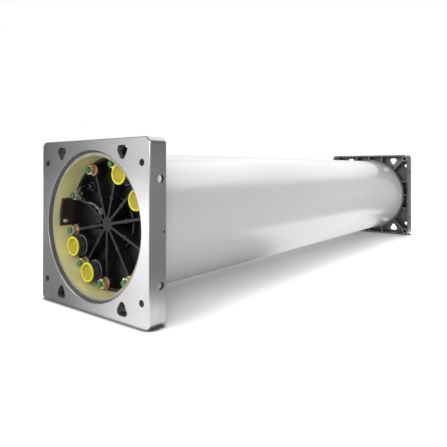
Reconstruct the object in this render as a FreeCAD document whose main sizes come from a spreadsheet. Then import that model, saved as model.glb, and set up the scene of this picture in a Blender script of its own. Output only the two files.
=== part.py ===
import FreeCAD, Part
import math
import os
import Sketcher
from FreeCAD import Vector

# Electrodeionization module: a round fibre-reinforced vessel between two square cast end plates.
# Frame: +Z up, +Y along the vessel, origin under the middle of the module on the ground.
# The port end looks towards -Y. Every piece of an end is drawn in that end's own frame:
# z = 0 on the outer face of the plate, z pointing out of the module, y up, on the vessel's axis.
# Sizes are millimetres and degrees.

# Driving sizes, each one a cell of the sheet under this name.
SIZES = {
    # Whole module
    "module_length": 1518,
    "plate_side": 340,
    # Cast end plate: flat web in front, open ribbed back
    "plate_depth": 40,
    "corner_radius": 13,
    "web_thick": 8,
    "wall_thick": 6,
    "rib_thick": 5,
    "side_rib_offset": 56,
    "collar_thick": 6,
    "collar_clearance": 0.3,
    "mouth_radius": 148.5,
    "edge_bevel": 1.2,
    "window_across": 97,
    "window_up": 143.5,
    "window_half_width": 6.3,
    "window_half_height": 5.2,
    "window_corner": 8,
    "fixing_across": 150,
    "fixing_up": 124,
    "fixing_radius": 6.5,
    "side_hole_up": 95,
    "side_hole_inset": 27,
    "side_hole_radius": 7.5,
    "earth_hole_inset": 36,
    "earth_hole_radius": 2.2,
    "corner_boss_inset": 16,
    "corner_boss_radius": 11.5,
    "corner_hole_radius": 6,
    "corner_hole_deep": 24,
    # Pressure vessel
    "vessel_radius": 145,
    "vessel_wall": 6.5,
    "vessel_inset": 8.5,
    # Ribbed end cap inside the vessel
    "cap_roll": 8,
    "cap_clearance": 0.3,
    "hub_radius": 14.5,
    "hub_depth": 42,
    "seat_depth": 52.7,
    "rim_wall": 6.5,
    "outer_floor_depth": 74,
    "inner_floor_depth": 92,
    "cap_back_depth": 112,
    "root_depth": 5,
    "spoke_thick": 5.5,
    "step_ring_radius": 54,
    "step_ring_thick": 5,
    "step_ring_depth": 64,
    "knot_reach": 6,
    "seal_inset": 5,
    "seal_width": 6,
    "seal_height": 4.5,
    "seal_clearance": 0.1,
    # Tie rods and what holds them
    "rod_count": 10,
    "rod_circle": 124.6,
    "rod_radius": 5.9,
    "rod_hole_radius": 6.6,
    "rod_land_width": 26,
    "rod_end_depth": 34.5,
    "nut_flats": 19,
    "nut_thick": 10.8,
    "thread_gap": 0.1,
    "washer_radius": 12,
    "washer_thick": 2.5,
    "washer_hole_radius": 6.5,
    # Ports
    "port_circle": 113.7,
    "port_boss_radius": 23,
    "port_boss_depth": 50,
    "nozzle_radius": 21,
    "nozzle_bore": 16,
    "nozzle_mouth_depth": 31.2,
    "nozzle_foot_depth": 98,
    "nozzle_clearance": 0.1,
    "plug_clearance": 0.05,
    "plug_length": 15,
    "port_cap_radius": 20.5,
    "port_cap_depth": 28,
    "port_cap_rim": 3.4,
    "port_cap_dish_depth": 5,
    "port_cap_dish_radius": 12,
    # Cell stack
    "stack_gap": 4,
    "electrode_thick": 3,
    "membrane_thick": 1.5,
    "spacer_wall": 14,
    # Keeper on the vessel wall and its pin
    "keeper_half_angle": 12.8,
    "keeper_top_depth": 20.5,
    "keeper_thick": 6,
    "keeper_pin_angle": -8.5,
    "keeper_pin_depth": 29.5,
    "keeper_pin_radius": 3.8,
    "keeper_pin_reach": 7,
    "keeper_pin_gap": 0.1,
    # Power lead: gland, lead, lug and the post that takes it
    "gland_circle": 107,
    "gland_flats": 20,
    "gland_hex_depth": 60,
    "gland_dome_radius": 7.5,
    "gland_top_depth": 50,
    "lead_radius": 3.6,
    "post_circle": 34,
    "post_radius": 3.9,
    "post_boss_radius": 9,
    "post_nut_flats": 13,
    "post_nut_thick": 6,
    "post_top_depth": 41,
    "lug_depth": 50,
    "lug_thick": 3,
    "lug_radius": 7.2,
    "lug_turn": 15,
    "lug_barrel_radius": 4.8,
    "lug_barrel_lift": 0.8,
    "lug_barrel_start": 6,
    "lug_barrel_end": 20,
}

# Angles of what stands between two rods, in rod pitches clockwise from up in the cap's frame.
PORT_STEPS = (0.5, 1.5, 5.5, 6.5)
LEAD_STEP = 8.5
KEEPER_STEP = 7.5

doc = FreeCAD.newDocument("electrodeionization_module")
sheet = doc.addObject("Spreadsheet::Sheet", "size")
parts = []


def fill_sheet():
    """Write every driving size into the sheet, with its name as the alias."""
    for row, (name, value) in enumerate(SIZES.items(), start=1):
        sheet.set(f"A{row}", name.replace("_", " "))
        sheet.set(f"B{row}", str(value))
        sheet.setAlias(f"B{row}", name)
    doc.recompute()


def number(expression):
    """Value of a sheet expression, for first guesses and for shapes made by Part's functions."""
    return sheet.evalExpression(str(expression))


def origin_part(body, role):
    """A plane or axis of a body's own origin."""
    return next(item for item in body.Origin.OriginFeatures if item.Role == role)


# Places of the two end frames. The rear end is the front end turned half round about the vertical.
FRONT = (
    "placement(vector(0; -size.module_length / 2; size.plate_side / 2); rotation(vector(1; 0; 0); 90))"
)
REAR = (
    "placement(vector(0; size.module_length / 2; size.plate_side / 2);"
    " rotation(vector(0; 0; 1); 180) * rotation(vector(1; 0; 0); 90))"
)
FRONT_CAP = FRONT + " * placement(vector(0; 0; 0); rotation(vector(0; 0; 1); -size.cap_roll))"
REAR_CAP = REAR + " * placement(vector(0; 0; 0); rotation(vector(0; 0; 1); size.cap_roll))"

# Sizes that several pieces share.
BORE = "(size.vessel_radius + size.collar_clearance)"
INSIDE = "(size.vessel_radius - size.vessel_wall)"
CAP_RADIUS = f"({INSIDE} - size.cap_clearance)"
SEAL_DEPTH = "(size.cap_back_depth - size.seal_inset - size.seal_width)"
HALF = "(size.plate_side / 2)"
STACK_RADIUS = "(size.rod_circle - size.rod_radius - size.stack_gap)"
ROD_PITCH = "(360 / size.rod_count)"
WASHER_DEPTH = "(size.seat_depth - size.washer_thick)"
NUT_DEPTH = f"({WASHER_DEPTH} - size.nut_thick)"
LUG_FOOT = "(size.lug_depth + size.lug_thick)"
BARREL_DEPTH = f"({LUG_FOOT} - size.lug_barrel_radius - size.lug_barrel_lift)"


def new_body(label, frame):
    """An empty body that becomes one node, placed in an end's frame."""
    body = doc.addObject("PartDesign::Body", label)
    body.AllowCompound = True
    body.setExpression("Placement", frame)
    parts.append(body)
    return body


def new_sketch(body, label, plane="XY_Plane", offset=None, turn=None):
    """A sketch on one of the body's origin planes, moved along its normal and turned about it."""
    sketch = body.newObject("Sketcher::SketchObject", label)
    sketch.AttachmentSupport = [(origin_part(body, plane), "")]
    sketch.MapMode = "FlatFace"
    if offset is not None:
        sketch.setExpression("AttachmentOffset.Base.z", offset)
    if turn is not None:
        sketch.setExpression("AttachmentOffset.Rotation.Angle", turn)
    return sketch


def hold(sketch, constraint, expression):
    """Add a dimension and bind it to the sheet."""
    index = sketch.addConstraint(constraint)
    sketch.setExpression(f"Constraints[{index}]", str(expression))


def hold_point(sketch, item, point, across, up):
    """Fix one point of an item at a distance from the sketch's origin."""
    hold(sketch, Sketcher.Constraint("DistanceX", -1, 1, item, point, number(across)), across)
    hold(sketch, Sketcher.Constraint("DistanceY", -1, 1, item, point, number(up)), up)


def circle(sketch, across, up, radius):
    """A circle about a point."""
    centre = Vector(number(across), number(up), 0)
    item = sketch.addGeometry(Part.Circle(centre, Vector(0, 0, 1), number(radius)))
    hold(sketch, Sketcher.Constraint("Radius", item, number(radius)), radius)
    hold_point(sketch, item, 3, across, up)


def polygon(sketch, corners):
    """A closed outline of straight edges through corners given as pairs of expressions."""
    points = [Vector(number(across), number(up), 0) for across, up in corners]
    count = len(points)
    first = sketch.GeometryCount
    for index, point in enumerate(points):
        sketch.addGeometry(Part.LineSegment(point, points[(index + 1) % count]))
    for index, (across, up) in enumerate(corners):
        following = first + (index + 1) % count
        sketch.addConstraint(Sketcher.Constraint("Coincident", first + index, 2, following, 1))
        hold_point(sketch, first + index, 1, across, up)


def rectangle(sketch, left, right, bottom, top):
    """An upright rectangle between four expressions."""
    polygon(sketch, [(left, bottom), (right, bottom), (right, top), (left, top)])


def rounded_triangle(sketch, across, up, side_sign, up_sign):
    """A window with a wide side away from the bore and a round tip towards it."""
    wide_side = f"{up_sign} * ({up} + size.window_half_height)"
    corners = [
        (f"{side_sign} * ({across} - size.window_half_width)", wide_side),
        (f"{side_sign} * ({across} + size.window_half_width)", wide_side),
        (f"{side_sign} * {across}", f"{up_sign} * ({up} - size.window_half_height)"),
    ]
    centres = [Vector(number(x), number(y), 0) for x, y in corners]
    if side_sign * up_sign > 0:
        corners.reverse()
        centres.reverse()
    radius = number("size.window_corner")
    first = sketch.GeometryCount
    spans = []
    for index, centre in enumerate(centres):
        leg = (centres[(index + 1) % 3] - centre).normalize()
        outwards = Vector(leg.y, -leg.x, 0)
        spans.append((centre, centres[(index + 1) % 3], outwards))
    for start, end, outwards in spans:
        sketch.addGeometry(Part.LineSegment(start + outwards * radius, end + outwards * radius))
    for index, centre in enumerate(centres):
        before = spans[index - 1][2]
        after = spans[index][2]
        start = math.atan2(before.y, before.x)
        end = math.atan2(after.y, after.x)
        rim = Part.Circle(centre, Vector(0, 0, 1), radius)
        sketch.addGeometry(Part.ArcOfCircle(rim, start, end))
    for index, (x, y) in enumerate(corners):
        arc = first + 3 + index
        hold(sketch, Sketcher.Constraint("Radius", arc, radius), "size.window_corner")
        hold_point(sketch, arc, 3, x, y)
        sketch.addConstraint(Sketcher.Constraint("Tangent", first + (index + 2) % 3, 2, arc, 1))
        sketch.addConstraint(Sketcher.Constraint("Tangent", arc, 2, first + index, 1))


def hexagon(sketch, across, up, flats):
    """A hexagon of a given size across its flats, with two corners level with its centre."""
    corners = [
        (f"{across} + {flats} / sqrt(3) * cos({60 * step})", f"{up} + {flats} / sqrt(3) * sin({60 * step})")
        for step in range(6)
    ]
    polygon(sketch, corners)


def pad(body, label, sketch, length, inwards=True):
    """Add material behind the sketch (into the module) or in front of it."""
    feature = body.newObject("PartDesign::Pad", label)
    feature.Profile = sketch
    feature.setExpression("Length", length)
    feature.Reversed = inwards
    doc.recompute()
    return feature


def pocket(body, label, sketch, length, inwards=True):
    """Cut material behind the sketch (into the module) or in front of it."""
    before = body.Shape.Volume
    feature = body.newObject("PartDesign::Pocket", label)
    feature.Profile = sketch
    feature.setExpression("Length", length)
    feature.Reversed = not inwards
    doc.recompute()
    if body.Shape.Volume >= before:
        raise RuntimeError(f"{label} cuts nothing")
    return feature


def revolve(body, label, corners):
    """Turn an outline of radius and height about the body's axis."""
    sketch = new_sketch(body, f"{label}_profile", "XZ_Plane")
    polygon(sketch, corners)
    feature = body.newObject("PartDesign::Revolution", label)
    feature.Profile = sketch
    feature.ReferenceAxis = (sketch, ["V_Axis"])
    feature.Angle = 360
    doc.recompute()
    return feature


def around(body, label, features, count="size.rod_count"):
    """Repeat features evenly about the vessel's axis."""
    pattern = body.newObject("PartDesign::PolarPattern", label)
    pattern.Originals = features
    pattern.Axis = (origin_part(body, "Z_Axis"), [""])
    pattern.Angle = 360
    pattern.setExpression("Occurrences", count)
    body.Tip = pattern
    doc.recompute()
    return pattern


def mirrored(body, label, features, plane="YZ_Plane"):
    """Repeat features on the other side of one of the body's planes."""
    mirror = body.newObject("PartDesign::Mirrored", label)
    mirror.Originals = features
    mirror.MirrorPlane = (origin_part(body, plane), [""])
    body.Tip = mirror
    doc.recompute()
    return mirror


def edges_where(shape, test):
    """Names of the edges of a shape that pass a test."""
    return [f"Edge{index}" for index, edge in enumerate(shape.Edges, start=1) if test(edge)]


def chamfer(body, label, base, names, size):
    """Bevel the named edges."""
    feature = body.newObject("PartDesign::Chamfer", label)
    feature.Base = (base, names)
    feature.setExpression("Size", size)
    doc.recompute()
    return feature


def fillet(body, label, base, names, radius):
    """Round the named edges."""
    feature = body.newObject("PartDesign::Fillet", label)
    feature.Base = (base, names)
    feature.setExpression("Radius", radius)
    doc.recompute()
    return feature


def is_upright(edge):
    """Whether an edge is straight and runs through the plate's depth."""
    box = edge.BoundBox
    return box.XLength < 0.001 and box.YLength < 0.001 and box.ZLength > 1


def end_plate(label, frame):
    """Square cast plate: web with a wide mouth, outer wall, collar round the vessel, ribs and holes."""
    body = new_body(label, frame)

    block = new_sketch(body, f"{label}_outline")
    rectangle(block, f"-{HALF}", HALF, f"-{HALF}", HALF)
    slab = pad(body, f"{label}_block", block, "size.plate_depth")
    upright = edges_where(slab.Shape, is_upright)
    rounded = fillet(body, f"{label}_corners", slab, upright, "size.corner_radius")

    def on_front(edge):
        return edge.BoundBox.ZMin > -0.001

    chamfer(body, f"{label}_front_edge", rounded, edges_where(rounded.Shape, on_front), "size.edge_bevel")

    inner = f"({HALF} - size.wall_thick)"
    cavity = new_sketch(body, f"{label}_cavity_outline", offset="-size.web_thick")
    rectangle(cavity, f"-{inner}", inner, f"-{inner}", inner)
    pocket(body, f"{label}_cavity", cavity, "size.plate_depth")

    collar = new_sketch(body, f"{label}_collar_outline", offset="-size.web_thick")
    circle(collar, "0", "0", f"{BORE} + size.collar_thick")
    pad(body, f"{label}_collar", collar, "size.plate_depth - size.web_thick")

    rib_depth = "size.plate_depth - size.web_thick"
    rib_root = "size.vessel_radius"
    ribs = new_sketch(body, f"{label}_side_rib_outline", offset="-size.web_thick")
    for centre in ("0", "size.side_rib_offset", "-size.side_rib_offset"):
        root = f"sqrt({rib_root} ^ 2 - ({centre}) ^ 2)"
        low = f"({centre}) - size.rib_thick / 2"
        high = f"({centre}) + size.rib_thick / 2"
        rectangle(ribs, root, f"{inner} + size.wall_thick / 2", low, high)
    side_ribs = pad(body, f"{label}_side_ribs", ribs, rib_depth)
    around(body, f"{label}_all_side_ribs", [side_ribs], "4")

    boss_reach = f"(({HALF} - size.corner_boss_inset) * sqrt(2))"
    diagonal = new_sketch(body, f"{label}_corner_rib_outline", offset="-size.web_thick", turn="45")
    rectangle(diagonal, rib_root, boss_reach, "-size.rib_thick / 2", "size.rib_thick / 2")
    corner_rib = pad(body, f"{label}_corner_rib", diagonal, rib_depth)
    boss_outline = new_sketch(body, f"{label}_corner_boss_outline", offset="-size.web_thick", turn="45")
    circle(boss_outline, boss_reach, "0", "size.corner_boss_radius")
    corner_boss = pad(body, f"{label}_corner_boss", boss_outline, rib_depth)
    around(body, f"{label}_all_corners", [corner_rib, corner_boss], "4")

    corner_circle = new_sketch(body, f"{label}_corner_hole_outline", offset="-size.plate_depth", turn="45")
    circle(corner_circle, boss_reach, "0", "size.corner_hole_radius")
    corner_hole = pocket(
        body, f"{label}_corner_hole", corner_circle, "size.corner_hole_deep", inwards=False
    )
    around(body, f"{label}_corner_holes", [corner_hole], "4")

    bore = new_sketch(body, f"{label}_bore_outline")
    circle(bore, "0", "0", BORE)
    pocket(body, f"{label}_bore", bore, "size.plate_depth")
    wide = new_sketch(body, f"{label}_mouth_outline")
    circle(wide, "0", "0", "size.mouth_radius")
    mouth = pocket(body, f"{label}_mouth", wide, "size.web_thick")

    def on_mouth_edge(edge):
        reach = number("size.mouth_radius")
        return edge.BoundBox.ZMin > -0.001 and abs(edge.BoundBox.XMax - reach) < 0.001

    chamfer(body, f"{label}_mouth_edge", mouth, edges_where(mouth.Shape, on_mouth_edge), "size.edge_bevel")

    holes = new_sketch(body, f"{label}_web_holes_outline")
    for side_sign in (1, -1):
        for up_sign in (1, -1):
            across = f"{side_sign} * size.fixing_across"
            up = f"{up_sign} * size.fixing_up"
            circle(holes, across, up, "size.fixing_radius")
            rounded_triangle(holes, "size.window_across", "size.window_up", side_sign, up_sign)
    pocket(body, f"{label}_web_holes", holes, "size.web_thick")

    drill = new_sketch(body, f"{label}_side_holes_outline", "YZ_Plane", offset=HALF)
    for up_sign in (1, -1):
        circle(drill, f"{up_sign} * size.side_hole_up", "-size.side_hole_inset", "size.side_hole_radius")
    circle(drill, "0", "-size.earth_hole_inset", "size.earth_hole_radius")
    side_holes = pocket(body, f"{label}_side_holes", drill, "size.wall_thick")
    mirrored(body, f"{label}_both_sides", [side_holes])
    return body


def pressure_vessel():
    """Round fibre-reinforced tube that runs through both plates."""
    body = new_body("pressure_vessel", FRONT)
    section = new_sketch(body, "vessel_section", offset="-size.vessel_inset")
    circle(section, "0", "0", "size.vessel_radius")
    circle(section, "0", "0", INSIDE)
    pad(body, "vessel_tube", section, "size.module_length - 2 * size.vessel_inset")


def end_cap(label, frame, with_ports):
    """Moulded cap: hub, spokes, step ring, rim with rod bosses, seal groove and, in front, port bosses."""
    body = new_body(label, frame)
    rim_inside = f"({CAP_RADIUS} - size.rim_wall)"
    ring_outside = "(size.step_ring_radius + size.step_ring_thick / 2)"
    ring_inside = "(size.step_ring_radius - size.step_ring_thick / 2)"
    revolve(body, f"{label}_disc", [
        ("0", "-size.hub_depth"),
        ("size.hub_radius", "-size.hub_depth"),
        ("size.hub_radius", "-size.inner_floor_depth"),
        (ring_inside, "-size.inner_floor_depth"),
        (ring_inside, "-size.step_ring_depth"),
        (ring_outside, "-size.step_ring_depth"),
        (ring_outside, "-size.outer_floor_depth"),
        (rim_inside, "-size.outer_floor_depth"),
        (rim_inside, "-size.seat_depth"),
        (CAP_RADIUS, "-size.seat_depth"),
        (CAP_RADIUS, "-size.cap_back_depth"),
        ("0", "-size.cap_back_depth"),
    ])

    spoke_end = "(size.rod_circle - size.washer_radius)"
    slope = f"((size.seat_depth - size.hub_depth) / ({spoke_end} - size.hub_radius))"
    floor = "-(size.inner_floor_depth + size.root_depth)"
    outline = new_sketch(body, f"{label}_spoke_outline", "YZ_Plane", offset="-size.spoke_thick / 2")
    polygon(outline, [
        ("0", "-size.hub_depth"),
        ("size.hub_radius", "-size.hub_depth"),
        (spoke_end, "-size.seat_depth"),
        (f"{CAP_RADIUS} - size.rim_wall / 2", "-size.seat_depth"),
        (f"{CAP_RADIUS} - size.rim_wall / 2", floor),
        ("0", floor),
    ])
    spoke = pad(body, f"{label}_spoke", outline, "size.spoke_thick", inwards=False)
    knot_depth = f"(size.hub_depth + {slope} * (size.step_ring_radius - size.hub_radius))"
    knot = new_sketch(body, f"{label}_knot_outline", offset=f"-{knot_depth}")
    polygon(knot, [
        ("0", "size.step_ring_radius - size.knot_reach"),
        ("size.knot_reach", "size.step_ring_radius"),
        ("0", "size.step_ring_radius + size.knot_reach"),
        ("-size.knot_reach", "size.step_ring_radius"),
    ])
    knot_length = f"size.inner_floor_depth + size.root_depth - {knot_depth}"
    spoke_knot = pad(body, f"{label}_knot", knot, knot_length)
    land = new_sketch(body, f"{label}_rod_land_outline", offset="-size.seat_depth")
    half_land = "(size.rod_land_width / 2)"
    rectangle(land, f"-{half_land}", half_land, spoke_end, f"{CAP_RADIUS} - size.rim_wall / 2")
    rod_land = pad(body, f"{label}_rod_land", land, "size.inner_floor_depth - size.seat_depth")
    around(body, f"{label}_all_spokes", [spoke, spoke_knot, rod_land])

    if with_ports:
        bosses = new_sketch(body, f"{label}_port_boss_outline", offset="-size.port_boss_depth")
        for step in PORT_STEPS:
            across, up = cap_point("size.port_circle", step)
            circle(bosses, across, up, "size.port_boss_radius")
        pad(body, f"{label}_port_bosses", bosses, "size.inner_floor_depth - size.port_boss_depth")
        sockets = new_sketch(body, f"{label}_socket_outline", offset="-size.port_boss_depth")
        for step in PORT_STEPS:
            across, up = cap_point("size.port_circle", step)
            circle(sockets, across, up, "size.nozzle_radius + size.nozzle_clearance")
        pocket(body, f"{label}_sockets", sockets, "size.nozzle_foot_depth - size.port_boss_depth")
        passages = new_sketch(body, f"{label}_passage_outline", offset="-size.nozzle_foot_depth")
        for step in PORT_STEPS:
            across, up = cap_point("size.port_circle", step)
            circle(passages, across, up, "size.nozzle_bore")
        pocket(body, f"{label}_passages", passages, "size.cap_back_depth - size.nozzle_foot_depth")

        post_boss = new_sketch(body, f"{label}_post_boss_outline", offset=f"-{LUG_FOOT}")
        across, up = cap_point("size.post_circle", LEAD_STEP)
        circle(post_boss, across, up, "size.post_boss_radius")
        pad(body, f"{label}_post_boss", post_boss, f"size.inner_floor_depth + size.root_depth - {LUG_FOOT}")

    rod_circle = new_sketch(body, f"{label}_rod_hole_outline", offset="-size.seat_depth")
    circle(rod_circle, "0", "size.rod_circle", "size.rod_hole_radius")
    rod_hole = pocket(body, f"{label}_rod_hole", rod_circle, "size.cap_back_depth - size.seat_depth")
    around(body, f"{label}_rod_holes", [rod_hole])

    groove = new_sketch(body, f"{label}_seal_groove_outline", offset=f"-{SEAL_DEPTH}")
    circle(groove, "0", "0", INSIDE)
    circle(groove, "0", "0", f"{CAP_RADIUS} - size.seal_height")
    pocket(body, f"{label}_seal_groove", groove, "size.seal_width")


def cap_point(radius, step):
    """A point at a radius and so many rod pitches clockwise from up, in the cap's frame."""
    angle = f"({step} * {ROD_PITCH})"
    return f"{radius} * sin({angle})", f"{radius} * cos({angle})"


def ring_set(label, frame, radius, hole, depth, thick):
    """One ring at every tie rod."""
    body = new_body(label, frame)
    outline = new_sketch(body, f"{label}_outline", offset=f"-{depth}")
    circle(outline, "0", "size.rod_circle", radius)
    circle(outline, "0", "size.rod_circle", hole)
    ring = pad(body, f"{label}_ring", outline, thick)
    around(body, f"{label}_all", [ring])


def tie_rods():
    """Threaded rods that clamp the stack between the two caps."""
    body = new_body("tie_rods", FRONT_CAP)
    outline = new_sketch(body, "tie_rod_outline", offset="-size.rod_end_depth")
    circle(outline, "0", "size.rod_circle", "size.rod_radius")
    rod = pad(body, "tie_rod", outline, "size.module_length - 2 * size.rod_end_depth")
    around(body, "tie_rod_all", [rod])


def nut_set(label, frame):
    """One hexagon nut at every tie rod."""
    body = new_body(label, frame)
    outline = new_sketch(body, f"{label}_outline", offset=f"-{NUT_DEPTH}")
    hexagon(outline, "0", "size.rod_circle", "size.nut_flats")
    circle(outline, "0", "size.rod_circle", "size.rod_radius + size.thread_gap")
    nut = pad(body, f"{label}_nut", outline, "size.nut_thick")
    around(body, f"{label}_all", [nut])


def cap_seals():
    """Ring seals in the grooves of both caps."""
    body = new_body("cap_seals", FRONT)
    inside = f"({CAP_RADIUS} - size.seal_height + size.seal_clearance)"
    thick = "size.seal_width - 2 * size.seal_clearance"
    depth = f"({SEAL_DEPTH} + size.seal_clearance)"
    outline = new_sketch(body, "cap_seal_outline", offset=f"-{depth}")
    circle(outline, "0", "0", INSIDE)
    circle(outline, "0", "0", inside)
    pad(body, "front_cap_seal", outline, thick)
    rear = new_sketch(body, "rear_cap_seal_outline", offset=f"-size.module_length + {depth}")
    circle(rear, "0", "0", INSIDE)
    circle(rear, "0", "0", inside)
    pad(body, "rear_cap_seal", rear, thick, inwards=False)


def port_nozzles():
    """Turned nozzles that stand in the sockets of the front cap."""
    body = new_body("port_nozzles", FRONT_CAP)
    outline = new_sketch(body, "nozzle_outline", offset="-size.nozzle_mouth_depth")
    for step in PORT_STEPS:
        across, up = cap_point("size.port_circle", step)
        circle(outline, across, up, "size.nozzle_radius")
        circle(outline, across, up, "size.nozzle_bore")
    pad(body, "nozzle_barrels", outline, "size.nozzle_foot_depth - size.nozzle_mouth_depth")


def port_cap(index, step):
    """Push-in transport cap: a dished flange and a plug that fits the nozzle's bore."""
    across, up = cap_point("size.port_circle", step)
    place = f"{FRONT_CAP} * placement(vector({across}; {up}; 0); rotation(vector(0; 0; 1); 0))"
    body = new_body(f"port_cap_{index}", place)
    plug = "(size.nozzle_bore - size.plug_clearance)"
    foot = "(size.nozzle_mouth_depth + size.plug_length)"
    inside = "(size.port_cap_radius - size.port_cap_rim)"
    floor = "(size.port_cap_depth + size.port_cap_dish_depth)"
    revolve(body, f"port_cap_{index}_turned", [
        ("0", f"-{floor}"),
        ("size.port_cap_dish_radius", f"-{floor}"),
        (inside, "-size.port_cap_depth"),
        ("size.port_cap_radius", "-size.port_cap_depth"),
        ("size.port_cap_radius", "-size.nozzle_mouth_depth"),
        (plug, "-size.nozzle_mouth_depth"),
        (plug, f"-{foot}"),
        ("0", f"-{foot}"),
    ])


def disc_pair(label, radius, depth, thick):
    """Two like discs, one near each end of the stack."""
    body = new_body(label, FRONT)
    outline = new_sketch(body, f"{label}_front_outline", offset=f"-{depth}")
    circle(outline, "0", "0", radius)
    pad(body, f"{label}_front", outline, thick)
    rear = new_sketch(body, f"{label}_rear_outline", offset=f"-size.module_length + {depth}")
    circle(rear, "0", "0", radius)
    pad(body, f"{label}_rear", rear, thick, inwards=False)


def cell_stack():
    """Electrodes, membranes and the resin bed in its spacer, clamped between the caps."""
    membrane_depth = "(size.cap_back_depth + size.electrode_thick)"
    bed_depth = f"({membrane_depth} + size.membrane_thick)"
    bed_length = f"size.module_length - 2 * {bed_depth}"
    disc_pair("electrode_plates", STACK_RADIUS, "size.cap_back_depth", "size.electrode_thick")
    disc_pair("membranes", STACK_RADIUS, membrane_depth, "size.membrane_thick")
    spacer = new_body("diluting_spacer", FRONT)
    ring = new_sketch(spacer, "spacer_outline", offset=f"-{bed_depth}")
    circle(ring, "0", "0", STACK_RADIUS)
    circle(ring, "0", "0", f"{STACK_RADIUS} - size.spacer_wall")
    pad(spacer, "spacer_ring", ring, bed_length)
    bed = new_body("resin_bed", FRONT)
    fill = new_sketch(bed, "resin_outline", offset=f"-{bed_depth}")
    circle(fill, "0", "0", f"{STACK_RADIUS} - size.spacer_wall")
    pad(bed, "resin_fill", fill, bed_length)


def keeper():
    """Curved block on the cap's rim against the vessel wall, and the pin that locks it."""
    body = new_body("cap_keeper", sector_frame(KEEPER_STEP))
    outside = CAP_RADIUS
    inside = f"({CAP_RADIUS} - size.keeper_thick)"
    outline = new_sketch(body, "keeper_outline", offset="-size.keeper_top_depth")
    half = math.radians(number("size.keeper_half_angle"))
    arcs = []
    for radius in (outside, inside):
        rim = Part.Circle(Vector(0, 0, 0), Vector(0, 0, 1), number(radius))
        item = outline.addGeometry(Part.ArcOfCircle(rim, math.pi / 2 - half, math.pi / 2 + half))
        outline.addConstraint(Sketcher.Constraint("Coincident", item, 3, -1, 1))
        hold(outline, Sketcher.Constraint("Radius", item, number(radius)), radius)
        arcs.append(item)
    for point, sign in ((1, ""), (2, "-")):
        start = Vector(math.sin(half), math.cos(half), 0)
        if sign:
            start.x = -start.x
        side = outline.addGeometry(Part.LineSegment(start * number(outside), start * number(inside)))
        outline.addConstraint(Sketcher.Constraint("Coincident", arcs[0], point, side, 1))
        outline.addConstraint(Sketcher.Constraint("Coincident", arcs[1], point, side, 2))
        for arc, radius in ((arcs[0], outside), (arcs[1], inside)):
            across = f"{sign}{radius} * sin(size.keeper_half_angle)"
            constraint = Sketcher.Constraint("DistanceX", -1, 1, arc, point, number(across))
            hold(outline, constraint, across)
    pad(body, "keeper_block", outline, "size.seat_depth - size.keeper_top_depth")
    pin = new_body("keeper_pin", sector_frame(KEEPER_STEP, turn="-size.keeper_pin_angle"))
    pin_foot = f"-{inside} + size.keeper_pin_gap"
    pin_outline = new_sketch(pin, "keeper_pin_outline", "XZ_Plane", offset=pin_foot)
    circle(pin_outline, "0", "-size.keeper_pin_depth", "size.keeper_pin_radius")
    pad(pin, "keeper_pin_shank", pin_outline, "size.keeper_pin_reach", inwards=False)


def sector_frame(step, radius="0", turn="0"):
    """Frame on the front cap at so many rod pitches from up, with y pointing outwards along the sector."""
    return (
        f"{FRONT_CAP} * placement(vector(0; 0; 0); rotation(vector(0; 0; 1); -{step} * {ROD_PITCH}))"
        f" * placement(vector(0; {radius}; 0); rotation(vector(0; 0; 1); {turn}))"
    )


def lead_gland():
    """Cable gland on the cap's outer floor: hexagon body and domed nut."""
    body = new_body("lead_gland", sector_frame(LEAD_STEP, "size.gland_circle"))
    outline = new_sketch(body, "gland_hexagon_outline", offset="-size.gland_hex_depth")
    hexagon(outline, "0", "0", "size.gland_flats")
    pad(body, "gland_hexagon", outline, "size.outer_floor_depth - size.gland_hex_depth")
    dome = new_sketch(body, "gland_dome_outline", offset="-size.gland_top_depth")
    circle(dome, "0", "0", "size.gland_dome_radius")
    pad(body, "gland_dome", dome, "size.gland_hex_depth - size.gland_top_depth")


def terminal():
    """Threaded post, its nut and the cable lug clamped between the nut and the cap's post boss."""
    post = new_body("terminal_post", sector_frame(LEAD_STEP, "size.post_circle"))
    outline = new_sketch(post, "post_outline", offset="-size.post_top_depth")
    circle(outline, "0", "0", "size.post_radius")
    pad(post, "post_shank", outline, f"{LUG_FOOT} - size.post_top_depth")

    nut = new_body("terminal_nut", sector_frame(LEAD_STEP, "size.post_circle"))
    nut_outline = new_sketch(nut, "terminal_nut_outline", offset="-size.lug_depth + size.post_nut_thick")
    hexagon(nut_outline, "0", "0", "size.post_nut_flats")
    circle(nut_outline, "0", "0", "size.post_radius + size.thread_gap")
    pad(nut, "terminal_nut_hexagon", nut_outline, "size.post_nut_thick")

    lug = new_body("cable_lug", sector_frame(LEAD_STEP, "size.post_circle", "size.lug_turn"))
    tongue = new_sketch(lug, "lug_tongue_outline", offset="-size.lug_depth")
    circle(tongue, "0", "0", "size.lug_radius")
    pad(lug, "lug_tongue", tongue, "size.lug_thick")
    barrel = new_sketch(lug, "lug_barrel_outline", "XZ_Plane", offset="-size.lug_barrel_end")
    circle(barrel, "0", f"-{BARREL_DEPTH}", "size.lug_barrel_radius")
    pad(lug, "lug_barrel", barrel, "size.lug_barrel_end - size.lug_barrel_start", inwards=False)
    hole = new_sketch(lug, "lug_hole_outline", offset="-size.lug_depth + size.lug_barrel_radius * 2")
    circle(hole, "0", "0", "size.post_nut_flats / sqrt(3) + size.thread_gap")
    pocket(lug, "lug_nut_space", hole, "size.lug_barrel_radius * 2")
    eye = new_sketch(lug, "lug_eye_outline", offset="-size.lug_depth")
    circle(eye, "0", "0", "size.post_radius + size.thread_gap")
    pocket(lug, "lug_eye", eye, "size.lug_thick")


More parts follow.
